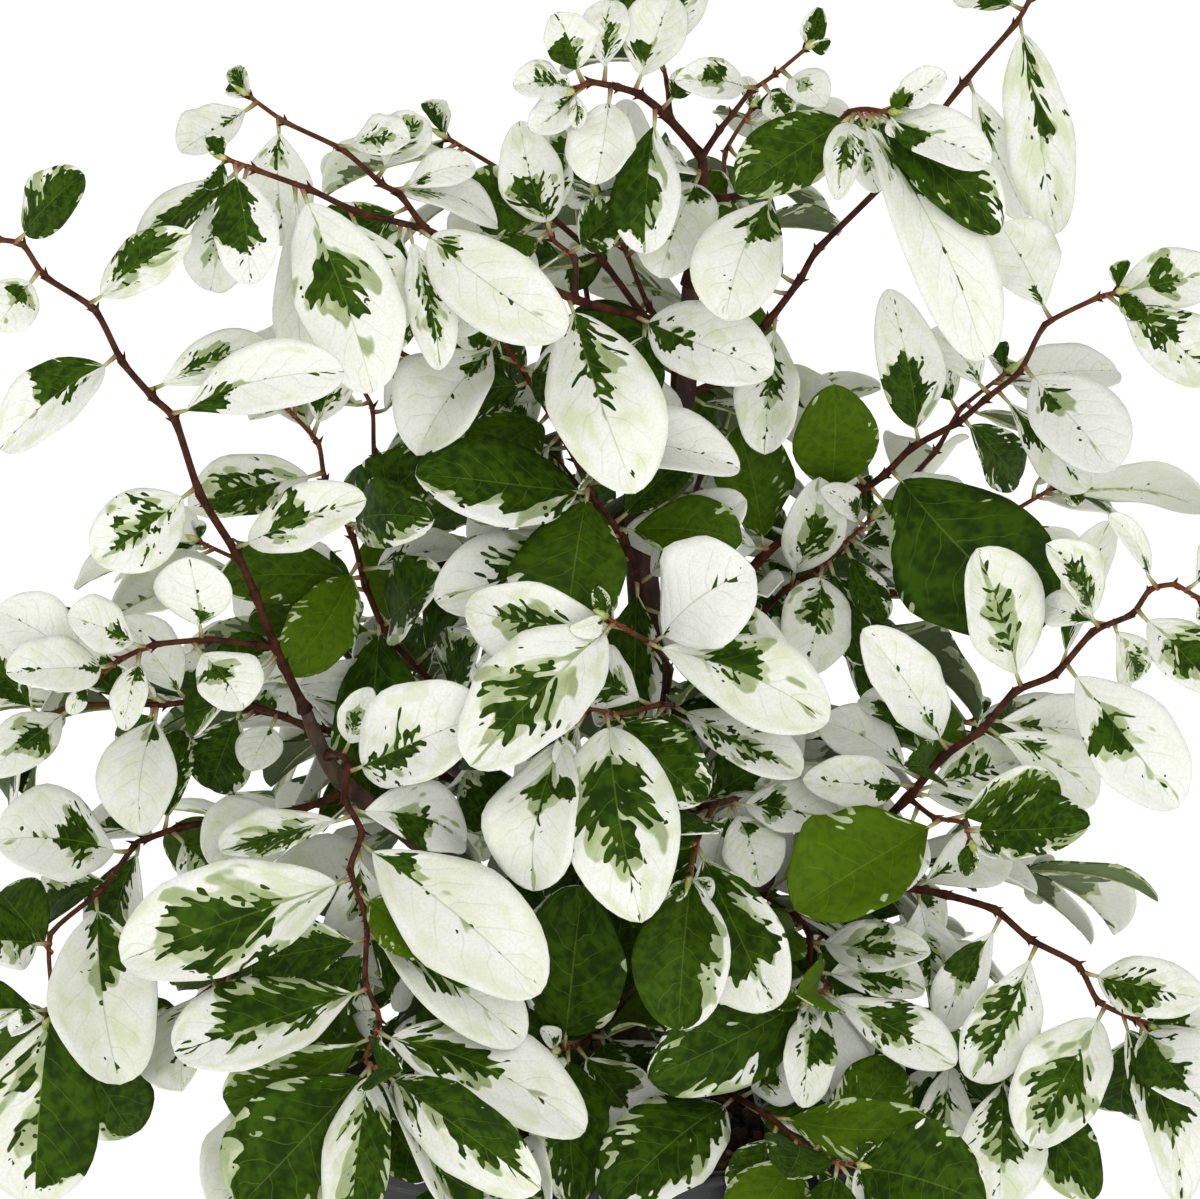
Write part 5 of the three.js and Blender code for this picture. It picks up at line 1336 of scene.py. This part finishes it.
def rough_grain(index, spot, tumble, flat, shade):
    bm = bmesh.new()
    tone = bm.verts.layers.float.new("tone")
    shape = Matrix.Scale(MM, 4) @ Matrix.Translation(spot) @ tumble @ flat
    for vert in bmesh.ops.create_icosphere(bm, subdivisions=2, radius=1, matrix=shape)["verts"]:
        out = vert.co - spot * MM
        vert.co += out * (0.32 * noise.noise(vert.co * 900 + Vector((index, 0, 0))))
        vert[tone] = shade
    return bm


def make_soil_grains(finish, foot):
    """Loose grains over the bed, laid in an even spiral, none inside the trunk."""
    chance = random.Random(11)
    heap = bmesh.new()
    heap.verts.layers.float.new("tone")
    carrier = bpy.data.meshes.new("grain")
    for index in range(GRAIN_COUNT):
        spot, *looks = draw_grain(index, chance)
        if (spot.xy - foot.xy).length >= GRAINS_OFF_TRUNK:
            grain = rough_grain(index, spot, *looks)
            grain.to_mesh(carrier)
            grain.free()
            heap.from_mesh(carrier)
    bpy.data.meshes.remove(carrier)
    for face in heap.faces:
        face.smooth = True
    return as_piece(heap, "soil_grains", finish)


# Trunk, limbs and surface roots
WOOD_VOXEL = 0.65
WOOD_SIDES = 16
TRUNK_END, LIMB_END, ROOT_END = 3.4, 2.8, 2.5
TAP_THICK, FLARE_THICK, FOOT_THICK = 8, 16, 14
FOOT_RISE, FLARE_DROP = 6, 2
ROOT_RISE, ROOT_BEND_RISE, ROOT_END_DROP = 5, 2.6, 3
CRACK_DEEP, CRACK_SHALLOW, CRACK_FADE = 0.42, 0.14, 90


def wood_tube(bm, route, thick, slim=1.0):
    path, spans = curved(route, 6, 0.7)
    last = len(route) - 1
    add_tube(bm, path, [lerp(*thick, (span / last) ** slim) / 2 for span in spans], WOOD_SIDES)


def add_trunk_and_limbs(bm):
    route = [seen(node) for node in TRUNK["route"]]
    foot, flare, tap = (Vector((route[0].x, route[0].y, height))
                        for height in (SOIL_TOP + FOOT_RISE, SOIL_TOP - FLARE_DROP, ROOT_DEPTH))
    wood_tube(bm, [foot, *route[1:]], (TRUNK["thick"][0], TRUNK_END), 0.7)
    wood_tube(bm, [tap, flare], (TAP_THICK, FLARE_THICK))
    wood_tube(bm, [flare, foot], (FLARE_THICK, FOOT_THICK))
    for limb in LIMBS:
        wood_tube(bm, [seen(node) for node in limb["route"]], (limb["thick"][0], LIMB_END), 0.6)
    return foot


def add_roots(bm, foot):
    """Surface roots that run out from the trunk's foot and down into the soil."""
    for angle, reach, thick in ROOTS:
        out = Vector((math.cos(math.radians(angle)), math.sin(math.radians(angle)), 0))
        ends = ((1, SOIL_TOP + ROOT_RISE), (reach * 0.5, SOIL_TOP + ROOT_BEND_RISE),
                (reach, SOIL_TOP - ROOT_END_DROP))
        route = [Vector((foot.x, foot.y, height)) + out * way for way, height in ends]
        wood_tube(bm, route, (thick, ROOT_END))


def fused(piece):
    """The mesh of a piece whose tubes are grown together under one skin, with soft forks."""
    fuse = piece.modifiers.new("one skin", "REMESH")
    fuse.mode, fuse.voxel_size, fuse.use_smooth_shade = "VOXEL", WOOD_VOXEL * MM, True
    ease = piece.modifiers.new("soft forks", "SMOOTH")
    ease.factor, ease.iterations = 0.5, 4
    skin = bpy.data.meshes.new_from_object(piece.evaluated_get(bpy.context.evaluated_depsgraph_get()))
    bpy.data.objects.remove(piece)
    return skin


def add_bark_relief(bm):
    """Upright ridges and knots, deepest at the foot."""
    for vert in bm.verts:
        height = vert.co.z / MM
        deep = lerp(CRACK_DEEP, CRACK_SHALLOW, clamp((height - SOIL_TOP) / CRACK_FADE))
        ridge = noise.noise(Vector((vert.co.x * 620, vert.co.y * 620, vert.co.z * 150)))
        knot = noise.noise(vert.co * 170)
        vert.co += vert.normal * (MM * deep * (ridge + 0.9 * knot))


def make_trunk():
    bm = bmesh.new()
    bm.verts.layers.float.new("age")
    add_roots(bm, add_trunk_and_limbs(bm))
    bmesh.ops.recalc_face_normals(bm, faces=bm.faces)
    skin = fused(as_piece(bm, "trunk_rough"))
    bm = bmesh.new()
    bm.from_mesh(skin)
    add_bark_relief(bm)
    return as_piece(bm, "trunk_wood", trunk_finish())


# The set: floor, light and camera, in metres and watts
FLOOR_HALF = 6.0
SKY_COLOUR, SKY_STRENGTH = (1.0, 0.995, 0.94, 1.0), 0.56
LIGHTS = [("key", (-0.75, -1.15, 1.5), 0.8, 6), ("front", (0.35, -1.4, 0.75), 1.2, 7.5)]
LIT_POINT = Vector((0, 0, 0.15))
SENSOR_WIDTH = 36


def make_floor():
    bm = bmesh.new()
    bmesh.ops.create_grid(bm, x_segments=4, y_segments=4, size=FLOOR_HALF)
    floor = as_piece(bm, "studio_floor", floor_finish())


def add_light(name, place, size, watts):
    data = bpy.data.lights.new(name, "AREA")
    data.size, data.energy = size, watts
    light = bpy.data.objects.new(name, data)
    light.location = place
    light.rotation_mode = "QUATERNION"
    light.rotation_quaternion = (LIT_POINT - light.location).to_track_quat("-Z", "Y")
    bpy.context.scene.collection.objects.link(light)


def add_camera():
    data = bpy.data.cameras.new("camera")
    data.sensor_fit, data.sensor_width = "HORIZONTAL", SENSOR_WIDTH
    data.lens = SENSOR_WIDTH * VIEW_DISTANCE / VIEW_WIDTH
    data.clip_start, data.clip_end = 0.05, 50
    camera = bpy.data.objects.new("camera", data)
    camera.location = VIEWER * MM
    camera.rotation_mode = "QUATERNION"
    camera.rotation_quaternion = (-TO_VIEWER).to_track_quat("-Z", "Y")
    bpy.context.scene.collection.objects.link(camera)
    bpy.context.scene.camera = camera


def set_the_stage():
    world = bpy.data.worlds.new("studio")
    world.use_nodes = True
    sky = world.node_tree.nodes["Background"]
    sky.inputs["Color"].default_value = SKY_COLOUR
    sky.inputs["Strength"].default_value = SKY_STRENGTH
    bpy.context.scene.world = world
    bpy.context.scene.view_settings.view_transform = "Standard"
    make_floor()
    for light in LIGHTS:
        add_light(*light)
    add_camera()


def dress(piece, slot, *nodes):
    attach(piece, "root")
    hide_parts(*nodes)


LEAF_UPPER, LEAF_UNDER = leaf_finish("leaf upper side", False), leaf_finish("leaf underside", True)
TWIG_BARK, STALK_SKIN, BUD_SKIN = twig_finish(), stalk_finish(), bud_finish()

sprays = lay_out_sprays()
add_inner_leaves(sprays)
add_young_leaves(sprays)
for node, spray in sprays.items():
    chance = random.Random(node)
    name = node.removeprefix("spray_")
    dress(make_leaves("leaves_" + name, spray["leaves"], chance), "foliage", node)
    dress(make_stems("stems_" + name, spray, chance), "bark", node)

soil = soil_finish()
dress(make_pot(), "glaze", "pot")
dress(make_soil_bed(soil), "soil", "soil")
dress(make_soil_grains(soil, seen(TRUNK["route"][0])), "soil", "soil")
dress(make_trunk(), "bark", "trunk")
plastic = mesh_finish()
for node in ("drain_mesh_left", "drain_mesh_right"):
    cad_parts[node].data.materials.clear()
    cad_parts[node].data.materials.append(plastic)
set_the_stage()
